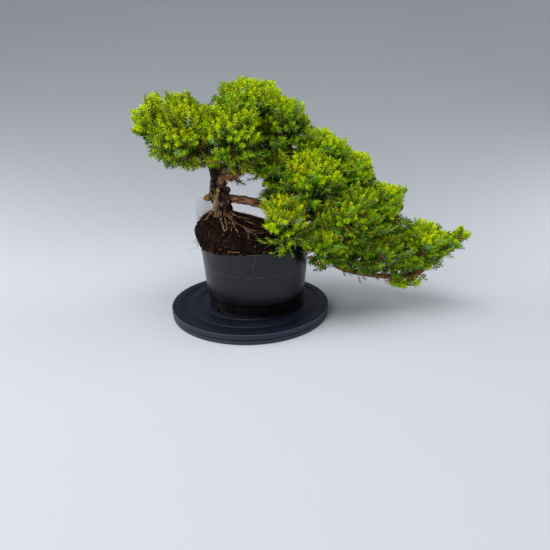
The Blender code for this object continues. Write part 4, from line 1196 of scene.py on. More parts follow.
def bark_height(place, grain):
    """How far the bark stands out at a point, whose grain coordinates run slowly along the wood."""
    strips = ridged(grain / GRAIN) * 0.6 + ridged(grain / GRAIN * 2.3) * 0.4
    flakes = noise.noise(place / (3.2 * MM)) * 0.5
    return (strips + flakes - 0.6) * GRAIN_DEPTH


def rough_tube(bundle, line, sides, lump, seed, ring_step=BARK_RING):
    """A limb with bark relief: rings along a smooth path, each point moved by the bark's height."""
    path, radii = line
    walked = walk(path)
    rings = max(int(walked[-1] / ring_step), 4)
    at = np.linspace(0, walked[-1], rings)
    centres = after_walk(path, walked, at)
    sizes = np.interp(at, walked, radii)
    along = unit(np.gradient(centres, axis=0))
    across = frames(along[:1])[0][0]
    turns = around(sides)
    shift = Vector((seed * 7.3, seed * 3.1, seed * 5.7))
    vertices = np.empty((rings, sides, 3))
    relief = np.empty((rings, sides))
    for ring in range(rings):
        across = unit(across - along[ring] * (across @ along[ring]))
        side = np.cross(along[ring], across)
        size = sizes[ring] * (1 + lump * noise.noise(Vector((at[ring] / LUMP_SIZE, seed * 9.1, 0))))
        for corner, turn in enumerate(turns):
            arm = across * math.cos(turn) + side * math.sin(turn)
            round_place = Vector((math.cos(turn) * size, math.sin(turn) * size, at[ring] * GRAIN_STRETCH))
            place = Vector(centres[ring] + arm * size)
            bulge = noise.noise(place / LUMP_SIZE + shift) * size * lump
            bark = bark_height(place, round_place + shift * MM)
            relief[ring, corner] = 0.5 + bark / GRAIN_DEPTH * 0.6
            vertices[ring, corner] = centres[ring] + arm * (size + bark + bulge)
    corners = vertices.reshape(-1, 3)
    bundle.add(corners[None], tube_faces(rings, sides)[0], relief=relief)
    fan = [(corner, (corner + 1) % sides, sides) for corner in range(sides)]
    for end in (corners[sides - 1 :: -1], corners[-sides:]):
        disc = np.concatenate((end, end.mean(axis=0)[None]))
        bundle.add(disc[None], fan, relief=np.full(sides + 1, 0.5))


UPRIGHT_GRAIN = (1, 1, 0.3)
LEVEL_GRAIN = (0.3, 1, 1)
CRACK_TONE_AND_SHADE = (16, 10, 7)
PATCH_DEPTH = 0.4  # the patches reach further from front to back than across, by one over this


def bark_material(name, dark, middle, pale, grain=UPRIGHT_GRAIN, stains_and_light=()):
    """Flaking fibrous bark: brown strips, near-black cracks and paler ridges, partly the bark's own colour
    and partly painted shade and painted light from the relief.

    stains_and_light: place in mm, radius in mm and colour of each patch; some are stains, some painted light
    and shade."""
    nodes = Nodes(name, middle, 0.85, 0.25)
    strips = nodes.noise(nodes.place(grain), 520, 5, 0.62, 0.5)
    patches = nodes.noise(nodes.place(), 90, 3, 0.5)
    relief = nodes.add("ShaderNodeAttribute", {"attribute_name": "relief"}).outputs["Fac"]
    # the relief paints the ridges paler, as painted light
    height = nodes.math("ADD", nodes.math("MULTIPLY", strips, 0.55), nodes.math("MULTIPLY", relief, 0.45))
    colour = nodes.ramp(height, (0.34, dark), (0.50, middle), (0.64, pale))
    # stains, and painted light and shade on the forks
    for place, radius, patch_tone in stains_and_light:
        squeezed = nodes.place((1, PATCH_DEPTH, 1))
        away = nodes.add("ShaderNodeVectorMath", {"operation": "DISTANCE"}, Vector=squeezed)
        away.inputs[1].default_value = [place[0] * MM, place[1] * MM * PATCH_DEPTH, place[2] * MM]
        uneven = nodes.math("ADD", away.outputs["Value"], nodes.math("MULTIPLY", patches, radius * MM))
        share = nodes.fade(uneven, radius * MM * 1.1, radius * MM * 1.9, 0.85)
        colour = nodes.mix(share, colour, nodes.ramp(height, (0.36, dark), (0.56, patch_tone)))
    # painted shade: the cracks and the hollows between lumps turn near-black, over the bark's own dark
    # fissures
    crack_tone_and_shade = nodes.ramp(relief, (0.16, 0.85), (0.42, 0.0))
    colour = nodes.mix(nodes.ramp(patches, (0.38, 0.0), (0.68, 0.55)), colour, dark)
    nodes.surface(Base_Color=nodes.mix(crack_tone_and_shade, colour, CRACK_TONE_AND_SHADE))
    nodes.surface(Roughness=nodes.ramp(strips, (0.3, 0.95), (0.7, 0.72)))
    nodes.bump(strips, 0.6 * MM, 0.8)
    return nodes.material


TRUNK_STAINS_AND_PAINTED_LIGHT = (
    # place and radius in mm, colour: the left fork painted dark as shade, the right one painted tan as light,
    # mossy and grey patches below
    ((-45, -8, 186), 7, (40, 28, 20)),
    ((-46, -4, 197), 8, (34, 24, 18)),
    ((-32, -8, 190), 6, (178, 134, 94)),
    ((-33, -6, 199), 6, (160, 118, 84)),
    ((-40, -12, 177), 6, (172, 138, 84)),
    ((-49, -8, 173), 6, (112, 98, 40)),
    ((-31, -12, 168), 9, (58, 36, 34)),
    ((-43, -12, 156), 8, (150, 128, 98)),
    ((-28, -10, 152), 8, (28, 19, 14)),
    ((-24, -8, 161), 4, (170, 104, 76)),
    ((-27, -6, 177), 5, (34, 23, 15)),
    ((-41, -2, 203), 9, (44, 30, 22)),
    ((-12, -7, 161), 9, (132, 88, 60)),
)
TRUNK_TONES = ((34, 22, 15), (100, 74, 51), (170, 138, 100))
TRUNK_BARK = bark_material("trunk bark", *TRUNK_TONES, UPRIGHT_GRAIN, TRUNK_STAINS_AND_PAINTED_LIGHT)


def trunk_form():
    """The trunk's stem, root flare, stub, knob and burls as one smooth closed mesh."""
    bundle = Bundle()
    foot = np.array(TRUNK_PATH[0], dtype=float)
    parts = [(limb_line(TRUNK_PATH, TRUNK_RADII, 5), 16)]
    for degrees in FLARE_TURNS:
        out = compass(math.radians(degrees))
        points = [foot + out * reach + UP * rise for reach, rise in FLARE_STEPS]
        parts.append((limb_line(points, FLARE_RADII, 4), 10))
    collars = [(LIMBS[name][1][:2], radii) for name, radii in LIMB_FEET.items()]
    for points, radii in ((STUB, STUB_RADII), (KNOB, KNOB_RADII), *collars):
        parts.append((limb_line(points, radii, 3), 12))
    for (path, radii), sides in parts:
        add_tubes(bundle, path[None], radii[None], sides)
    for place, radius in BURLS:
        heights = np.array(BURL_HEIGHTS) * radius * MM
        line = np.array(place) * MM + UP * heights[:, None]
        add_tubes(bundle, line[None], (np.array(BURL_RADII) * radius * MM)[None], 12)
    form = bundle.piece("trunk_bark", TRUNK_BARK, "bark", True)
    remesh = form.modifiers.new("skin", "REMESH")
    remesh.mode = "VOXEL"
    remesh.voxel_size = TRUNK_VOXEL
    remesh.use_smooth_shade = True
    smooth = form.modifiers.new("smooth", "SMOOTH")
    smooth.factor = 0.5
    smooth.iterations = 7
    return form


def apply_modifiers(piece):
    bpy.context.view_layer.update()
    mesh = bpy.data.meshes.new_from_object(piece.evaluated_get(bpy.context.evaluated_depsgraph_get()))
    piece.modifiers.clear()
    piece.data = mesh


CUT_FACES = (-0.62, -0.80, 0.10)  # the stub was cut on the slant
CUT_BACK = 1.5 * MM
CUT_SIDES = 20
CUT_REACH = 2.2  # the cut takes off no bark further away than this many of the stub's radii
CUT_DEPTHS = (-1.0 * MM, 0.25 * MM)  # of the disc's rims, from the plane of the cut
CUT_SHARE = 0.86  # of the stub's radius, as the bark stands round the wood
STUB_END = Vector(STUB[1]) * MM
STUB_WAY = (Vector(STUB[1]) - Vector(STUB[0])).normalized()
SLANT = Vector(CUT_FACES).normalized()
CUT_POINT = STUB_END - STUB_WAY * CUT_BACK


def make_trunk():
    """The trunk's form with lumps, strips and flakes of bark, and its stub cut off on the slant."""
    trunk = trunk_form()
    apply_modifiers(trunk)
    mesh = trunk.data
    relief = []
    for vertex, normal in zip(mesh.vertices, [v.normal.copy() for v in mesh.vertices]):
        place = vertex.co.copy()
        swirl = noise.noise(place / SWIRL_SIZE) * SWIRL_SHIFT * MM
        grain = Vector((place.x + swirl, place.y + swirl, place.z * GRAIN_STRETCH))
        lump = sum(noise.noise(place / size) * height * MM for size, height in TRUNK_LUMPS)
        across = Vector((place.x + swirl, place.y, place.z * STRIP_STRETCH))
        strip = ridged(across / STRIP_SIZE) * STRIP_HEIGHT * MM
        fine = bark_height(place, grain) * TRUNK_GRAIN
        vertex.co = place + normal * (fine + lump + strip - TRUNK_SUNK)
        # relief for the bark's painted shade in hollows and painted light on ridges
        relief.append(0.1 + fine / (1.6 * MM) + strip / (2.6 * MM) + lump / (14 * MM))
        if (place - STUB_END).length < CUT_REACH * STUB_RADII[0] * MM:
            vertex.co -= SLANT * max((vertex.co - CUT_POINT).dot(SLANT), 0)
        vertex.co.z = max(vertex.co.z, SEAT[2] - 0.4 * MM)
    mesh.update()
    add_relief(mesh, np.array(relief))
    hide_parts("trunk")
    make_cut()


def make_cut():
    """The bare wood on the stub's slanted end: a disc just proud of the bark."""
    nodes = Nodes("cut wood", (98, 76, 24), 0.8, 0.15)
    settings = {"wave_type": "RINGS", "rings_direction": "X"}
    rings = nodes.add("ShaderNodeTexWave", settings, Vector=nodes.place(), Scale=180.0, Distortion=3.0)
    nodes.surface(Base_Color=nodes.ramp(rings.outputs["Fac"], (0.2, (74, 54, 16)), (0.8, (122, 96, 32))))
    way, facing, point = (np.array(vector) for vector in (STUB_WAY, SLANT, CUT_POINT))
    across, side = frames(way[None])
    turns = around(CUT_SIDES)
    arms = (across * np.cos(turns)[:, None] + side * np.sin(turns)[:, None]) * STUB_RADII[1] * CUT_SHARE * MM
    arms = arms * (1 + 0.08 * np.sin(3 * turns + 1))[:, None]
    rims = []
    for proud in CUT_DEPTHS:
        start = point + arms
        slide = ((point + facing * proud - start) @ facing) / (way @ facing)
        rims.append(start + slide[:, None] * way)
    vertices = np.concatenate((*rims, rims[1].mean(axis=0)[None]))[None]
    fan = [(CUT_SIDES + step, CUT_SIDES + (step + 1) % CUT_SIDES, 2 * CUT_SIDES) for step in range(CUT_SIDES)]
    bundle = Bundle()
    bundle.add(vertices, tube_faces(2, CUT_SIDES)[0])
    bundle.add(vertices, fan)
    bundle.piece("pruned_stub_face", nodes.material, "bark")


UPRIGHT_LIMBS = ("bough_left", "bough_upper")


def make_boughs():
    """The limbs in two barks, and the side boughs that carry the masses."""
    lines, _ = plan_limbs(6)
    uprights, levels = Bundle(), Bundle()
    for number, name in enumerate(LIMBS):
        bundle = uprights if name in UPRIGHT_LIMBS else levels
        rough_tube(bundle, lines[name], BARK_SIDES, 0.2, number + 1)
    limbs = uprights.piece("upright_limbs", TRUNK_BARK, "bark", True)
    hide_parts(*UPRIGHT_LIMBS)
    bark = bark_material("bough bark", (58, 34, 24), (132, 86, 58), (176, 136, 98), LEVEL_GRAIN)
    boughs = levels.piece("level_boughs", bark, "bark", True)
    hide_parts(*(name for name in LIMBS if name not in UPRIGHT_LIMBS))
    side = Bundle()
    names = [name for name in lines if name not in LIMBS]
    for number, name in enumerate(names):
        rough_tube(side, lines[name], SIDE_BARK_SIDES, 0.12, number + 20, BARK_RING * 1.4)
    sides = side.piece("side_boughs", bark, "bark", True)
    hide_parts(*names)


def make_roots():
    """Surface roots that run from the flare down the mound, half sunk in it."""
    bundle = Bundle()
    for number, (first, last, places) in enumerate(ROOTS):
        smooth = smooth_path([(degrees, share, 0) for degrees, share in places], ROOT_STEPS)
        turns, inward = np.radians(smooth[:, 0]), np.clip(-smooth[:, 1], 0, 1)
        points = mound_top(turns, np.maximum(smooth[:, 1], 0))
        points -= compass(turns) * SEAT_RADIUS * inward[:, None] * ROOT_INWARD
        radii = np.linspace(first, last, len(points)) * MM
        points[:, 2] += radii * 0.35 + inward * ROOT_CLIMB
        points[-1, 2] -= radii[-1] * 2
        rough_tube(bundle, (points, radii), ROOT_SIDES, 0.3, number + 50, ROOT_RING)
    bark = bark_material("root bark", (40, 26, 18), (106, 74, 50), (164, 128, 94))
    bundle.piece("surface_roots", bark, "bark", True)


# ---- root ball ----

SOIL_TURNS = 300
SOIL_SIDE_STEPS = 11
SOIL_TOP_STEPS = 34
SOIL_FOOT = POT_BASE + FLOOR + 0.3 * MM
PAINTED_SHADOW_FROM_TO = (-0.03, 0.02)  # across the plant: painted shadow of the plant, darker to the right
# relief of the mound: sizes in metres, heights in mm
CRUMBLE_SIZE = 6 * MM
CRUMBLE_KIND = (0.6, 2.1, 5)  # the fractal's roughness, step and octaves
CRUMBLE_HEIGHT = 1.5
SWELL_SIZE = 22 * MM
SWELL_HEIGHT = 1.6
HIDDEN_DEPTH = 1.5 * MM  # deeper inside the pot than this it stays smooth
CRUMBS = 8000
CRUMB_SIZES = (0.35 * MM, 1.35 * MM)
CRUMB_STRETCH = (0.6, 1.7)
CRUMB_REACH = (0.5, 1.1)
LIP_CRUMBS = 1500  # the crumbs that hang over the rim on the left
LIP_DROP = 5.5 * MM
LIP_OUT = 0.6 * MM
LIP_THICK = 2.2 * MM
LIP_OVER = 2.5 * MM
LIP_CRUMB = 0.7 * MM
LIP_SPREAD = math.radians(75)
FIBRES = 1900
FIBRE_LENGTHS = (5 * MM, 24 * MM)
FIBRE_RADII = (0.12 * MM, 0.30 * MM)
FIBRE_KNOTS = 7
FIBRE_CURL = 0.35
FIBRE_FALL = 0.35
FIBRE_HUG = 0.85  # how closely it keeps to the skin
FIBRE_ARCH = 1.6 * MM
FIBRE_ARCHES = (0.1, 0.6)  # shares of it
FIBRE_STRAY = 2.5 * MM  # how far from the mound's skin a fibre may end
THICK_FIBRES = 130
THICK_RADII = (0.28 * MM, 0.42 * MM)
THICK_CURL = 0.6
HANGING_FIBRES = 30
HANGING_SPREAD = 0.55  # in radians, either side of HANG_TURN
HANGING_FROM = (0.0, 0.7)  # how far up the mound's overhang they start
HANGING_LENGTHS = (5 * MM, 15 * MM)
HANGING_STRAY = 0.3
HANGING_FALL = 0.30
HANGING_CURL = 0.22
SOIL_TINTS = (
    ("soil_dark", (16, 9, 6), 0.54),
    ("soil_brown", (32, 18, 12), 0.34),
    ("soil_tan", (76, 50, 34), 0.13),
    ("soil_pale", (112, 86, 60), 0.02),
)
FIBRE_TINTS = (
    ("fibres_dark", (34, 20, 14), 0.54),
    ("fibres_brown", (72, 45, 29), 0.34),
    ("fibres_pale", (136, 100, 66), 0.15),
)
HAIRS = (
    # single root hairs and a straw: radius and three places in mm
    (0.15, ((12.3, -75.6, 105.4), (10.6, -76.4, 96.5), (7.6, -75.4, 87))),
    (0.13, ((-66, -30, 100), (-75, -32, 103), (-78, -31, 97))),
    (0.15, ((-68, -26, 105), (-74, -28, 112), (-77, -30, 108))),
    (0.34, ((-23, -74.6, 110), (-15, -77.2, 110.2), (-7.5, -78.6, 110))),
)


def soil_rings():
    """Rings of points over the root ball: the plug inside the pot, the mound's side, then its top."""
    turns = around(SOIL_TURNS)
    plug = (
        (FOOT_RADIUS - WALL - SOIL_GAP, SOIL_FOOT),
        (FOOT_TOP_RADIUS - WALL - SOIL_GAP, FOOT_TOP_HEIGHT),
        (WALL_FOOT_RADIUS - WALL - SOIL_GAP, WALL_FOOT_HEIGHT),
    )
    rings = [POT_AXIS + compass(turns) * radius + UP * height for radius, height in plug]
    first_rough = len(rings)
    levels = mound_side(turns)
    top_start = mound_top(turns, np.full(SOIL_TURNS, 0.9))
    controls = [levels[0] * 2 - levels[1], *levels, top_start]
    for four in zip(controls, controls[1:], controls[2:], controls[3:]):
        rings += [between(*four, step / SOIL_SIDE_STEPS) for step in range(SOIL_SIDE_STEPS)]
    for share in np.linspace(1, 0, SOIL_TOP_STEPS):
        rings.append(mound_top(turns, np.full(SOIL_TURNS, share)))
    for share in (0.66, 0.33):
        rings.append(SEAT + (rings[-1] - SEAT) * share)
    return rings, first_rough


def compost_material():
    """Dark compost with paler crumbs, and painted shadow of the plant that darkens it on the right."""
    nodes = Nodes("compost", (44, 31, 24), 0.95, 0.05)
    place = nodes.place()
    fine = nodes.noise(place, 900, 6, 0.7)
    coarse = nodes.noise(place, 210, 4, 0.6)
    colour = nodes.ramp(fine, (0.36, (7, 4, 3)), (0.52, (20, 12, 9)), (0.70, (44, 29, 20)))
    colour = nodes.mix(nodes.ramp(coarse, (0.4, 0.0), (0.65, 0.6)), colour, (20, 13, 10))
    # painted shadow: the compost darkens towards +X, where the plant's shadow falls
    painted_shadow = nodes.fade(nodes.axis(place, "X"), *PAINTED_SHADOW_FROM_TO, 0.0, 0.7, "LINEAR")
    nodes.surface(Base_Color=nodes.mix(painted_shadow, colour, (10, 7, 5)))
    nodes.bump(fine, 0.8 * MM, 1.0)
    return nodes.material


def make_soil():
    """The mound's skin, broken up in crumbs of several sizes. Returns its mesh for what lies on it."""
    rings, first_rough = soil_rings()
    vertices = np.concatenate((*rings, (POT_AXIS + UP * SOIL_FOOT)[None], SEAT[None]))
    quads, _ = tube_faces(len(rings), SOIL_TURNS)
    low, high = len(vertices) - 2, len(vertices) - 1
    last = (len(rings) - 1) * SOIL_TURNS
    fans = []
    for step in range(SOIL_TURNS):
        after = (step + 1) % SOIL_TURNS
        fans += [(low, after, step), (high, last + step, last + after)]
    soil = mesh_piece("root_ball_skin", vertices, [quads, fans], compost_material(), True)
    mesh = soil.data
    normals = [vertex.normal.copy() for vertex in mesh.vertices]
    for index, vertex in enumerate(mesh.vertices):
        if first_rough * SOIL_TURNS <= index < low:
            place = vertex.co
            height = noise.fractal(place / CRUMBLE_SIZE, *CRUMBLE_KIND) * CRUMBLE_HEIGHT
            height += noise.noise(place / SWELL_SIZE) * SWELL_HEIGHT
            if pot_distance(np.array(place)[None])[0] < -HIDDEN_DEPTH and place.z < RIM_HEIGHT:
                height = 0
            vertex.co = place + normals[index] * height * MM
    mesh.update()
    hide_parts("root_ball")
    return mesh


def scatter(mesh, count, draws, lowest):
    """Random points on a mesh above a height, with the normals there."""
    mesh.calc_loop_triangles()
    coordinates = np.empty(len(mesh.vertices) * 3)
    mesh.vertices.foreach_get("co", coordinates)
    coordinates = coordinates.reshape(-1, 3)
    triangles = np.empty(len(mesh.loop_triangles) * 3, dtype=np.int32)
    mesh.loop_triangles.foreach_get("vertices", triangles)
    corners = coordinates[triangles.reshape(-1, 3)]
    corners = corners[corners[:, :, 2].min(axis=1) > lowest]
    cross = np.cross(corners[:, 1] - corners[:, 0], corners[:, 2] - corners[:, 0])
    areas = np.linalg.norm(cross, axis=1)
    chosen = draws.choice(len(corners), count, p=areas / areas.sum())
    first, second = draws.random((2, count, 1))
    flip = first + second > 1
    first, second = np.where(flip, 1 - first, first), np.where(flip, 1 - second, second)
    a, b, c = (corners[chosen, corner] for corner in range(3))
    return a + (b - a) * first + (c - a) * second, unit(cross[chosen])


def deal(draws, count, tints):
    """A tint's number for each of so many things, by the tints' shares."""
    shares = np.array([share for _, _, share in tints])
    return draws.choice(len(tints), count, p=shares / shares.sum())


def lip_points(draws):
    """Places for the crumbs that hang over the pot's rim where the mound leans out most."""
    away = draws.uniform(-1, 1, LIP_CRUMBS)
    turns = HANG_TURN + away * LIP_SPREAD
    drop = LIP_DROP * (1 - away**2) * (0.8 + 0.35 * np.sin(turns * 23) * np.sin(turns * 9 + 1))
    share = draws.random(LIP_CRUMBS)
    reach = RIM_RADIUS + LIP_OUT + (1 - share) * LIP_THICK * draws.random(LIP_CRUMBS)
    height = RIM_HEIGHT + LIP_OVER - share * (drop + LIP_OVER)
    return POT_AXIS + compass(turns) * reach[:, None] + UP * height[:, None]


def make_crumbs(mesh):
    """Crumbs of compost and bark: rough lumps of eight faces."""
    draws = np.random.default_rng((SEED, CRUMB_SEED))
    points = np.concatenate((scatter(mesh, CRUMBS, draws, RIM_HEIGHT - 2 * MM)[0], lip_points(draws)))
    count = len(points)
    sizes = CRUMB_SIZES[0] + (CRUMB_SIZES[1] - CRUMB_SIZES[0]) * draws.random(count) ** 3
    sizes[CRUMBS:] = np.maximum(sizes[CRUMBS:], LIP_CRUMB)
    axis = unit(draws.normal(size=(count, 3)))
    across, side = frames(axis, draws.uniform(0, math.tau, count))
    stretch = draws.uniform(*CRUMB_STRETCH, (count, 1))
    corners = [points + axis * sizes[:, None] * stretch, points - axis * sizes[:, None] * stretch]
    for step in range(4):
        turn = math.tau * step / 4
        reach = sizes[:, None] * draws.uniform(*CRUMB_REACH, (count, 1))
        corners.append(points + (across * math.cos(turn) + side * math.sin(turn)) * reach)
    vertices = np.stack(corners, axis=1)
    faces = []
    for first, after in ((2, 3), (3, 4), (4, 5), (5, 2)):
        faces += [(0, first, after), (1, after, first)]
    numbers = deal(draws, count, SOIL_TINTS)
    for number, (name, colour, _) in enumerate(SOIL_TINTS):
        bundle = Bundle()
        bundle.add(vertices[numbers == number], faces)
        bundle.piece(name, plain_material(name, colour, 0.9, 0.05), "soil")


def make_fibres(mesh):
    """Fine roots that lie on the mound, and some that hang from its edge."""
    draws = np.random.default_rng((SEED, FIBRE_SEED))
    groups = [lying_fibres(mesh, draws, FIBRES, FIBRE_RADII, FIBRE_CURL)]
    groups.append(lying_fibres(mesh, draws, THICK_FIBRES, THICK_RADII, THICK_CURL))
    hanging = hanging_fibres(draws)
    groups.append((hanging, draws.uniform(*FIBRE_RADII, len(hanging))))
    paths = np.concatenate([group for group, _ in groups])
    radii = np.concatenate([sizes for _, sizes in groups])[:, None] * np.linspace(1, 0.5, FIBRE_KNOTS)[None]
    numbers = deal(draws, len(paths), FIBRE_TINTS)
    for number, (name, colour, _) in enumerate(FIBRE_TINTS):
        bundle = Bundle()
        add_tubes(bundle, paths[numbers == number], radii[numbers == number], 3)
        if name == "fibres_pale":
            for radius, places in HAIRS:
                first, middle, last = np.array(places)[:, None] * MM
                hair = bezier(first, middle * 2 - (first + last) / 2, last, np.linspace(0, 1, FIBRE_KNOTS))
                add_tubes(bundle, hair, np.full((1, FIBRE_KNOTS), radius * MM), 3)
        bundle.piece(name, plain_material(name, colour, 0.8, 0.12), "soil")


def lying_fibres(mesh, draws, count, radii, curl):
    """Paths and radii of fine roots that curl along the mound's skin."""
    starts, normals = scatter(mesh, count, draws, RIM_HEIGHT)
    headings = unit(np.cross(normals, draws.normal(size=(count, 3))))
    headings = unit(headings - UP * FIBRE_FALL)
    lengths = draws.uniform(*FIBRE_LENGTHS, count) * draws.random(count) ** 0.6
    paths = [starts]
    for _ in range(FIBRE_KNOTS - 1):
        turned_way = headings + draws.normal(0, curl, (count, 3))
        turned_way -= normals * np.sum(turned_way * normals, axis=1, keepdims=True) * FIBRE_HUG
        headings = unit(turned_way)
        paths.append(paths[-1] + headings * (lengths / (FIBRE_KNOTS - 1))[:, None])
    paths = np.stack(paths, axis=1)
    arch = np.sin(math.pi * np.linspace(0, 1, FIBRE_KNOTS))[None, :, None]
    arch = arch * draws.uniform(*FIBRE_ARCHES, (count, 1, 1))
    paths += normals[:, None] * arch * FIBRE_ARCH
    kept = np.abs(pot_distance(paths[:, -1])) < FIBRE_STRAY
    return paths[kept], draws.uniform(*radii, int(kept.sum()))


def hanging_fibres(draws):
    """Root hairs that curl down from where the mound hangs over the rim."""
    turns = HANG_TURN + draws.normal(0, HANGING_SPREAD, HANGING_FIBRES)
    edge = mound_side(turns)
    starts = edge[1] + (edge[2] - edge[1]) * draws.uniform(*HANGING_FROM, (HANGING_FIBRES, 1))
    out = unit(starts - POT_AXIS * (1, 1, 0) - UP * starts[:, 2:3])
    heading = unit(out * 0.9 - UP * 0.5 + draws.normal(0, HANGING_STRAY, (HANGING_FIBRES, 3)))
    lengths = draws.uniform(*HANGING_LENGTHS, HANGING_FIBRES)
    paths = [starts]
    for _ in range(FIBRE_KNOTS - 1):
        heading = unit(heading - UP * HANGING_FALL + draws.normal(0, HANGING_CURL, (HANGING_FIBRES, 3)))
        paths.append(paths[-1] + heading * (lengths / (FIBRE_KNOTS - 1))[:, None])
    return np.stack(paths, axis=1)


# ---- pot, turntable, label ----

TURN_STEPS = 160
RIM_UNEVEN = 0.35 * MM
RIM_NICKS = 0.12 * MM
PAINTED_EDGE_REFLECTION = ((0.984, 0.0), (0.990, 1.0))  # where a painted reflection makes the plate's edge paler, by share of the radius
# where a painted highlight draws a bright line round the plate's top edge, by share of the radius
PAINTED_EDGE_HIGHLIGHT = ((0.9942, 0.0), (0.9952, 1.0), (0.9975, 1.0), (0.9985, 0.0))
RIB_SLOPE = 0.5 * MM  # half the width of a groove's sloping side
BEARING_RADIUS = 34 * MM
BEARING_GAP = 0.3 * MM
SLIT_INSET = 0.6 * MM
SLIT_LAP = 0.1 * MM
SLOT_COUNT = 6
SLOT_SIZE = (12 * MM, 17 * MM, 8 * MM)
SLOT_BITE = 3.6 * MM
SLOT_TURN = math.radians(-73)
LABEL_WIDTH = 24 * MM
LABEL_THICKNESS = 1.0 * MM
LABEL_TOP = 163 * MM
LABEL_SHOULDER = 128 * MM
LABEL_POINT = 108 * MM
LABEL_PLACE = (-64.5, 24)  # in mm
LABEL_TURN = math.radians(14)
LABEL_LEAN = math.radians(-8)
LABEL_CORNER = 4 * MM
LABEL_NOSE = 2.5 * MM
LABEL_BOW = 0.5 * MM
LABEL_EDGE = 0.3 * MM
LABEL_DIRT = (134 * MM, 146 * MM)  # the heights between which its dirt fades out
SCRATCH_HEIGHT = 76 * MM
SHARP_ANGLE = math.radians(35)


def rounded(profile, radius, steps=4):
    """The profile with each inner corner rounded by up to a radius."""
    points = [np.array(point, dtype=float) for point in profile]
    out = [points[0]]
    for before, corner, after in zip(points, points[1:], points[2:]):
        back, ahead = before - corner, after - corner
        back_room, ahead_room = np.linalg.norm(back), np.linalg.norm(ahead)
        start = corner + back / back_room * min(radius, back_room * 0.45)
        end = corner + ahead / ahead_room * min(radius, ahead_room * 0.45)
        for step in range(steps + 1):
            t = step / steps
            out.append(start * (1 - t) ** 2 + corner * 2 * t * (1 - t) + end * t**2)
    out.append(points[-1])
    return np.array(out)


def turned(name, profile, centre, material):
    """A closed profile of (radius, height), from the axis down the outer side, turned about Z."""
    ways = compass(around(TURN_STEPS))
    inner = profile[1:-1]
    rings = [ways * radius + UP * height + centre for radius, height in inner]
    tops = np.array([(0, 0, profile[0][1]), (0, 0, profile[-1][1])]) + centre
    vertices = np.concatenate((*rings, tops))
    quads, fans = [], []
    steps = [(step, (step + 1) % TURN_STEPS) for step in range(TURN_STEPS)]
    for low in range(0, (len(inner) - 1) * TURN_STEPS, TURN_STEPS):
        high = low + TURN_STEPS
        quads += [(low + after, low + step, high + step, high + after) for step, after in steps]
    first, last = len(vertices) - 2, len(vertices) - 1
    bottom = (len(inner) - 1) * TURN_STEPS
    # the gap between the two discs, made dark by a black disc as painted shade
    for step, after in steps:
        fans += [(first, step, after), (last, bottom + after, bottom + step)]
    piece = mesh_piece(name, vertices, [quads, fans], material, True)
    piece.data.set_sharp_from_angle(angle=SHARP_ANGLE)
    return piece


def pot_material():
    """Black satin plastic with dust, a scratched line round it, painted shade that darkens its lower part,
    and a dusty foot.
    """
    nodes = Nodes("pot plastic", (16, 17, 21), 0.3, 0.42)
    place = nodes.place()
    cloud = nodes.noise(place, 26, 4, 0.6)
    specks = nodes.noise(place, 800, 3, 0.6)
    scuffs = nodes.noise(nodes.place((1, 1, 9)), 60, 6, 0.7, 0.6)
    height = nodes.axis(place, "Z")
    colour = nodes.mix(nodes.ramp(cloud, (0.35, 0.0), (0.75, 0.5)), (5, 7, 12), (11, 13, 20))
    colour = nodes.mix(nodes.ramp(specks, (0.66, 0.0), (0.74, 0.5)), colour, (96, 92, 84))
    wavering = nodes.math("ADD", height, nodes.math("MULTIPLY", cloud, 4 * MM))
    off_line = nodes.math("ABSOLUTE", nodes.math("SUBTRACT", wavering, SCRATCH_HEIGHT))
    broken = nodes.ramp(nodes.noise(place, 320, 4, 0.7), (0.46, 0.0), (0.62, 0.55))
    scratch = nodes.math("MULTIPLY", nodes.fade(off_line, 0.05 * MM, 0.55 * MM), broken)
    colour = nodes.mix(scratch, colour, (132, 120, 98))
    # painted shade: the wall darkens to near black towards the foot
    colour = nodes.mix(nodes.fade(height, 24 * MM, 66 * MM), colour, (2, 2, 4))
    patches = nodes.ramp(nodes.noise(place, 420, 5, 0.8), (0.50, 0.0), (0.66, 0.7))
    dirt = nodes.math("MULTIPLY", nodes.fade(height, POT_BASE, POT_BASE + 4 * MM), patches)
    nodes.surface(Base_Color=nodes.mix(dirt, colour, (104, 94, 80)))
    nodes.surface(Roughness=nodes.ramp(scuffs, (0.3, 0.24), (0.7, 0.34)))
    nodes.bump(specks, 0.04 * MM, 0.5)
    return nodes.material


def make_pot():
    """The pot's shell, with a rim that was cut unevenly."""
    outer = [
        (RIM_RADIUS, RIM_HEIGHT),
        (WALL_FOOT_RADIUS, WALL_FOOT_HEIGHT),
        (FOOT_TOP_RADIUS, FOOT_TOP_HEIGHT),
        (FOOT_RADIUS, POT_BASE),
    ]
    inner = [(radius - WALL, height) for radius, height in outer[:-1]]
    inner.append((FOOT_RADIUS - WALL, POT_BASE + FLOOR))
    profile = [(0, POT_BASE + FLOOR), *reversed(inner), *outer, (0, POT_BASE)]
    pot = turned("pot_shell", rounded(profile, 0.6 * MM, 3), POT_AXIS, pot_material())
    for vertex in pot.data.vertices:
        if vertex.co.z > RIM_HEIGHT - 1 * MM:
            place = Vector((vertex.co.x, vertex.co.y, 0))
            nicks = noise.noise(place / (2 * MM)) * RIM_NICKS
            vertex.co.z += noise.noise(place / (9 * MM)) * RIM_UNEVEN + nicks
    cut_slots(pot)
    pot.data.shade_smooth()
    pot.data.set_sharp_from_angle(angle=SHARP_ANGLE)
    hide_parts("pot")


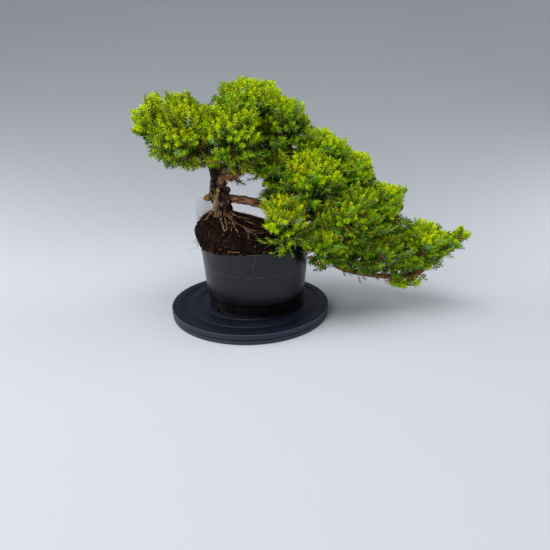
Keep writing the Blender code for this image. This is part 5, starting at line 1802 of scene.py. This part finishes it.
def cut_slots(pot):
    """The drain slots at the foot of the wall, cut out with rounded blocks."""
    cutters = bpy.data.collections.new("slot cutters")
    bpy.context.scene.collection.children.link(cutters)
    reach = FOOT_RADIUS + SLOT_SIZE[0] / 2 - SLOT_BITE
    for index in range(SLOT_COUNT):
        turn = SLOT_TURN + math.tau * index / SLOT_COUNT
        way = Vector((math.cos(turn), math.sin(turn), 0))
        centre = Vector(POT_AXIS) + way * reach + Vector(UP) * POT_BASE
        placing = Matrix.Translation(centre) @ Matrix.Rotation(turn, 4, "Z")
        bm = bmesh.new()
        bmesh.ops.create_cube(bm, size=1)
        bm.transform(placing @ Matrix.Diagonal((*SLOT_SIZE, 1)))
        bmesh.ops.bevel(bm, geom=bm.edges[:], offset=0.8 * MM, segments=2, affect="EDGES")
        mesh = bpy.data.meshes.new("slot")
        bm.to_mesh(mesh)
        bm.free()
        cutters.objects.link(bpy.data.objects.new("slot", mesh))
    cut = pot.modifiers.new("slots", "BOOLEAN")
    cut.operand_type = "COLLECTION"
    cut.collection = cutters
    cut.solver = "MANIFOLD"
    apply_modifiers(pot)
    for cutter in list(cutters.objects):
        bpy.data.objects.remove(cutter, do_unlink=True)
    bpy.data.collections.remove(cutters)


def turntable_material():
    """Dark blue plastic with specks of dust, painted shade in the grooves, and a painted reflection that
    makes the edge paler, with a painted highlight line on it.
    """
    nodes = Nodes("turntable plastic", (14, 18, 27), 0.5, 0.16)
    place = nodes.place()
    cloud = nodes.noise(place, 14, 3, 0.5)
    specks = nodes.noise(place, 900, 2, 0.5)
    shade = nodes.mix(nodes.ramp(cloud, (0.35, 0.0), (0.7, 1.0)), (10, 14, 26), (15, 20, 35))
    flat = nodes.add("ShaderNodeVectorMath", {"operation": "LENGTH"}, Vector=nodes.place((1, 1, 0)))
    share = nodes.math("DIVIDE", flat.outputs["Value"], TABLE_RADIUS)
    # painted shade: the two grooves are darker
    stops = [(0.0, 0.0)]
    for far, near in (RIB_EDGES[2:], RIB_EDGES[:2]):
        stops += [(near - 0.012, 0.0), (near - 0.008, 1.0), (far - 0.004, 1.0), (far, 0.0)]
    shade = nodes.mix(nodes.ramp(share, *stops), shade, (6, 10, 20))
    # painted reflection on the edge, and a painted highlight line on it
    shade = nodes.mix(nodes.ramp(share, *PAINTED_EDGE_REFLECTION), shade, (38, 42, 52))
    shade = nodes.mix(nodes.ramp(share, *PAINTED_EDGE_HIGHLIGHT), shade, (76, 82, 94))
    shade = nodes.mix(nodes.ramp(specks, (0.70, 0.0), (0.76, 0.5)), shade, (92, 94, 98))
    nodes.surface(Base_Color=shade)
    nodes.surface(Roughness=nodes.ramp(nodes.noise(place, 40, 5, 0.6), (0.3, 0.40), (0.7, 0.52)))
    nodes.bump(nodes.noise(place, 1500, 2, 0.5), 0.03 * MM, 0.4)
    return nodes.material


def make_turntable():
    """The foot disc, the ribbed plate on it, and a black disc in the gap between them as painted shade."""
    material = turntable_material()
    low, top = SLIT_HEIGHT, SLIT_HEIGHT + SLIT
    bearing_top = top - BEARING_GAP
    bearing = [(0, bearing_top), (BEARING_RADIUS, bearing_top), (BEARING_RADIUS, low)]
    base_profile = [*bearing, (BASE_RADIUS, low), (BASE_RADIUS, 0), (0, 0)]
    base = turned("turntable_foot", rounded(base_profile, 0.5 * MM), (0, 0, 0), material)
    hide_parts("turntable_base")
    top_profile = [(0, TABLE_HEIGHT)]
    groove = TABLE_HEIGHT - RIB_DEPTH
    for far, near in (RIB_EDGES[2:], RIB_EDGES[:2]):
        near, far = TABLE_RADIUS * near, TABLE_RADIUS * far
        top_profile += [(near - RIB_SLOPE, TABLE_HEIGHT), (near + RIB_SLOPE, groove)]
        top_profile += [(far - RIB_SLOPE, groove), (far + RIB_SLOPE, TABLE_HEIGHT)]
    top_profile += [(TABLE_RADIUS, TABLE_HEIGHT), (TABLE_RADIUS, top), (0, top)]
    plate = turned("turntable_plate", rounded(top_profile, 0.35 * MM), (0, 0, 0), material)
    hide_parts("turntable_top")
    # painted shade: a black disc inside the slit between the discs
    black = plain_material("slit black", (3, 3, 4), 0.9, 0.1)
    recess = BASE_RADIUS - SLIT_INSET
    profile = [(0, top), (recess, top), (recess, low - SLIT_LAP), (0, low - SLIT_LAP)]
    turned("turntable_slit_shade", np.array(profile), (0, 0, 0), black)


def label_half_width(height):
    """Half the tag's width at a height: round corners on top, straight sides, a cut point below."""
    half = LABEL_WIDTH / 2
    if height > LABEL_TOP - LABEL_CORNER:
        rise = height - (LABEL_TOP - LABEL_CORNER)
        return half - LABEL_CORNER + math.sqrt(max(LABEL_CORNER**2 - rise**2, 0))
    if height < LABEL_SHOULDER:
        return LABEL_NOSE + (half - LABEL_NOSE) * (height - LABEL_POINT) / (LABEL_SHOULDER - LABEL_POINT)
    return half


def label_material():
    """White plastic, a little dirty where it stands in the compost."""
    nodes = Nodes("label plastic", (226, 229, 234), 0.38, 0.5)
    place = nodes.place()
    low = nodes.fade(nodes.axis(place, "Z"), *LABEL_DIRT, kind="LINEAR")
    dirt = nodes.math("MULTIPLY", low, nodes.ramp(nodes.noise(place, 220, 5, 0.7), (0.46, 0.0), (0.62, 0.8)))
    cloud = nodes.ramp(nodes.noise(place, 60, 3, 0.5), (0.3, 0.0), (0.7, 1.0))
    shade = nodes.mix(cloud, (214, 219, 228), (226, 230, 237))
    nodes.surface(Base_Color=nodes.mix(dirt, shade, (104, 82, 62)))
    return nodes.material


def make_label():
    """The tag: eight-cornered sections, slightly bowed, then leant and turned into its place."""
    point = np.linspace(LABEL_POINT, LABEL_SHOULDER, 8)
    straight = np.linspace(LABEL_SHOULDER, LABEL_TOP - LABEL_CORNER, 10)[1:]
    arc = LABEL_TOP - LABEL_CORNER + LABEL_CORNER * np.sin(np.linspace(0, math.pi / 2, 9)[1:])
    heights = np.concatenate((point, straight, arc))
    thick, edge = LABEL_THICKNESS / 2, LABEL_EDGE
    rings = []
    for height in heights:
        half = label_half_width(height)
        bow = LABEL_BOW * ((height - LABEL_POINT) / (LABEL_TOP - LABEL_POINT)) ** 2
        section = ((half - edge, -thick), (half, -thick + edge), (half, thick - edge), (half - edge, thick))
        mirrored = [(-across, depth) for across, depth in reversed(section)]
        rings += [(across, height - LABEL_SHOULDER, depth + bow) for across, depth in (*section, *mirrored)]
    quads, _ = tube_faces(len(heights), 8)
    last = (len(heights) - 1) * 8
    caps = [tuple(range(7, -1, -1)), tuple(range(last, last + 8))]
    label = mesh_piece("blank_plant_label", np.array(rings), [quads, caps], label_material(), True)
    placing = Matrix.Translation((LABEL_PLACE[0] * MM, LABEL_PLACE[1] * MM, LABEL_SHOULDER))
    placing = placing @ Matrix.Rotation(LABEL_TURN, 4, "Z") @ Matrix.Rotation(LABEL_LEAN, 4, "Y")
    label.data.transform(placing @ Matrix.Rotation(math.pi / 2, 4, "X"))
    label.data.set_sharp_from_angle(angle=SHARP_ANGLE)
    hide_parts("plant_label")


# ---- stage, light and camera ----

FLOOR_RADIUS = 0.62
SWEEP_RADIUS = 1.9
SWEEP_STEPS = 48
STAGE_TOP = 2.6
STAGE_SIDES = 96


def make_stage():
    """A pale floor that sweeps up to a pale backdrop all round."""
    profile = [(FLOOR_RADIUS, 0.0)]
    for step in range(1, SWEEP_STEPS + 1):
        turn = math.pi / 2 * step / SWEEP_STEPS
        out, up = SWEEP_RADIUS * math.sin(turn), SWEEP_RADIUS - SWEEP_RADIUS * math.cos(turn)
        profile.append((FLOOR_RADIUS + out, up))
    profile.append((FLOOR_RADIUS + SWEEP_RADIUS, STAGE_TOP))
    bm = bmesh.new()
    ways = [(math.cos(turn), math.sin(turn)) for turn in around(STAGE_SIDES)]
    rings = [[bm.verts.new((radius * x, radius * y, height)) for x, y in ways] for radius, height in profile]
    bm.faces.new(rings[0])
    for low, high in zip(rings[:-1], rings[1:]):
        for step in range(STAGE_SIDES):
            after = (step + 1) % STAGE_SIDES
            bm.faces.new((low[step], low[after], high[after], high[step]))
    mesh = bpy.data.meshes.new("floor")
    bm.to_mesh(mesh)
    bm.free()
    mesh.materials.append(plain_material("pale floor", (171, 174, 180), 0.85, 0.1))
    floor = add_object("floor", mesh)


LIGHTS = (
    # name, place, size in metres, watts
    ("overhead", (-0.2, -0.35, 1.6), (1.3, 1.1), 25),
    ("front left", (-0.9, -1.5, 0.95), (1.0, 0.9), 19.5),
    ("right edge", (1.25, 0.2, 0.7), (0.6, 0.8), 9),
    ("left edge", (-1.25, 0.05, 0.7), (0.8, 0.8), 10),
)
LIT_PLACE = (0.06, 0.0, 0.15)
SKY_COLOUR = (0.93, 0.96, 1.0, 1)
SKY_STRENGTH = 0.36


def make_lights():
    for name, place, size, power in LIGHTS:
        data = bpy.data.lights.new(name, "AREA")
        data.shape = "RECTANGLE"
        data.size, data.size_y = size
        data.energy = power
        light = add_object(name, data)
        light.location = place
        light.rotation_euler = (Vector(LIT_PLACE) - Vector(place)).to_track_quat("-Z", "Y").to_euler()
    world = bpy.data.worlds.new("studio")
    world.use_nodes = True
    background = world.node_tree.nodes["Background"]
    background.inputs["Color"].default_value = SKY_COLOUR
    background.inputs["Strength"].default_value = SKY_STRENGTH
    bpy.context.scene.world = world


CAMERA_PLACE = (0.0362, -0.5704, 0.2566)
CAMERA_PITCH = math.radians(90 - 19.72)
CAMERA_ROLL = math.radians(-0.33)
FOCAL_PIXELS = 413
FRAME_PIXELS = 550
SENSOR = 36  # width in mm
CLIP = (0.01, 100)


def make_camera():
    data = bpy.data.cameras.new("camera")
    data.sensor_fit = "HORIZONTAL"
    data.sensor_width = SENSOR
    data.lens = FOCAL_PIXELS / FRAME_PIXELS * SENSOR
    data.clip_start, data.clip_end = CLIP
    camera = add_object("camera", data)
    pitch, roll = Matrix.Rotation(CAMERA_PITCH, 4, "X"), Matrix.Rotation(CAMERA_ROLL, 4, "Z")
    camera.matrix_world = Matrix.Translation(CAMERA_PLACE) @ pitch @ roll
    bpy.context.scene.camera = camera
    bpy.context.scene.view_settings.view_transform = "Standard"


def corners(box):
    return [list(corner) for corner in box]


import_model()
make_stage()
make_lights()
make_camera()
make_turntable()
make_pot()
soil_mesh = make_soil()
make_crumbs(soil_mesh)
make_fibres(soil_mesh)
make_roots()
make_trunk()
make_boughs()
make_label()
make_foliage(*plan_limbs(4))
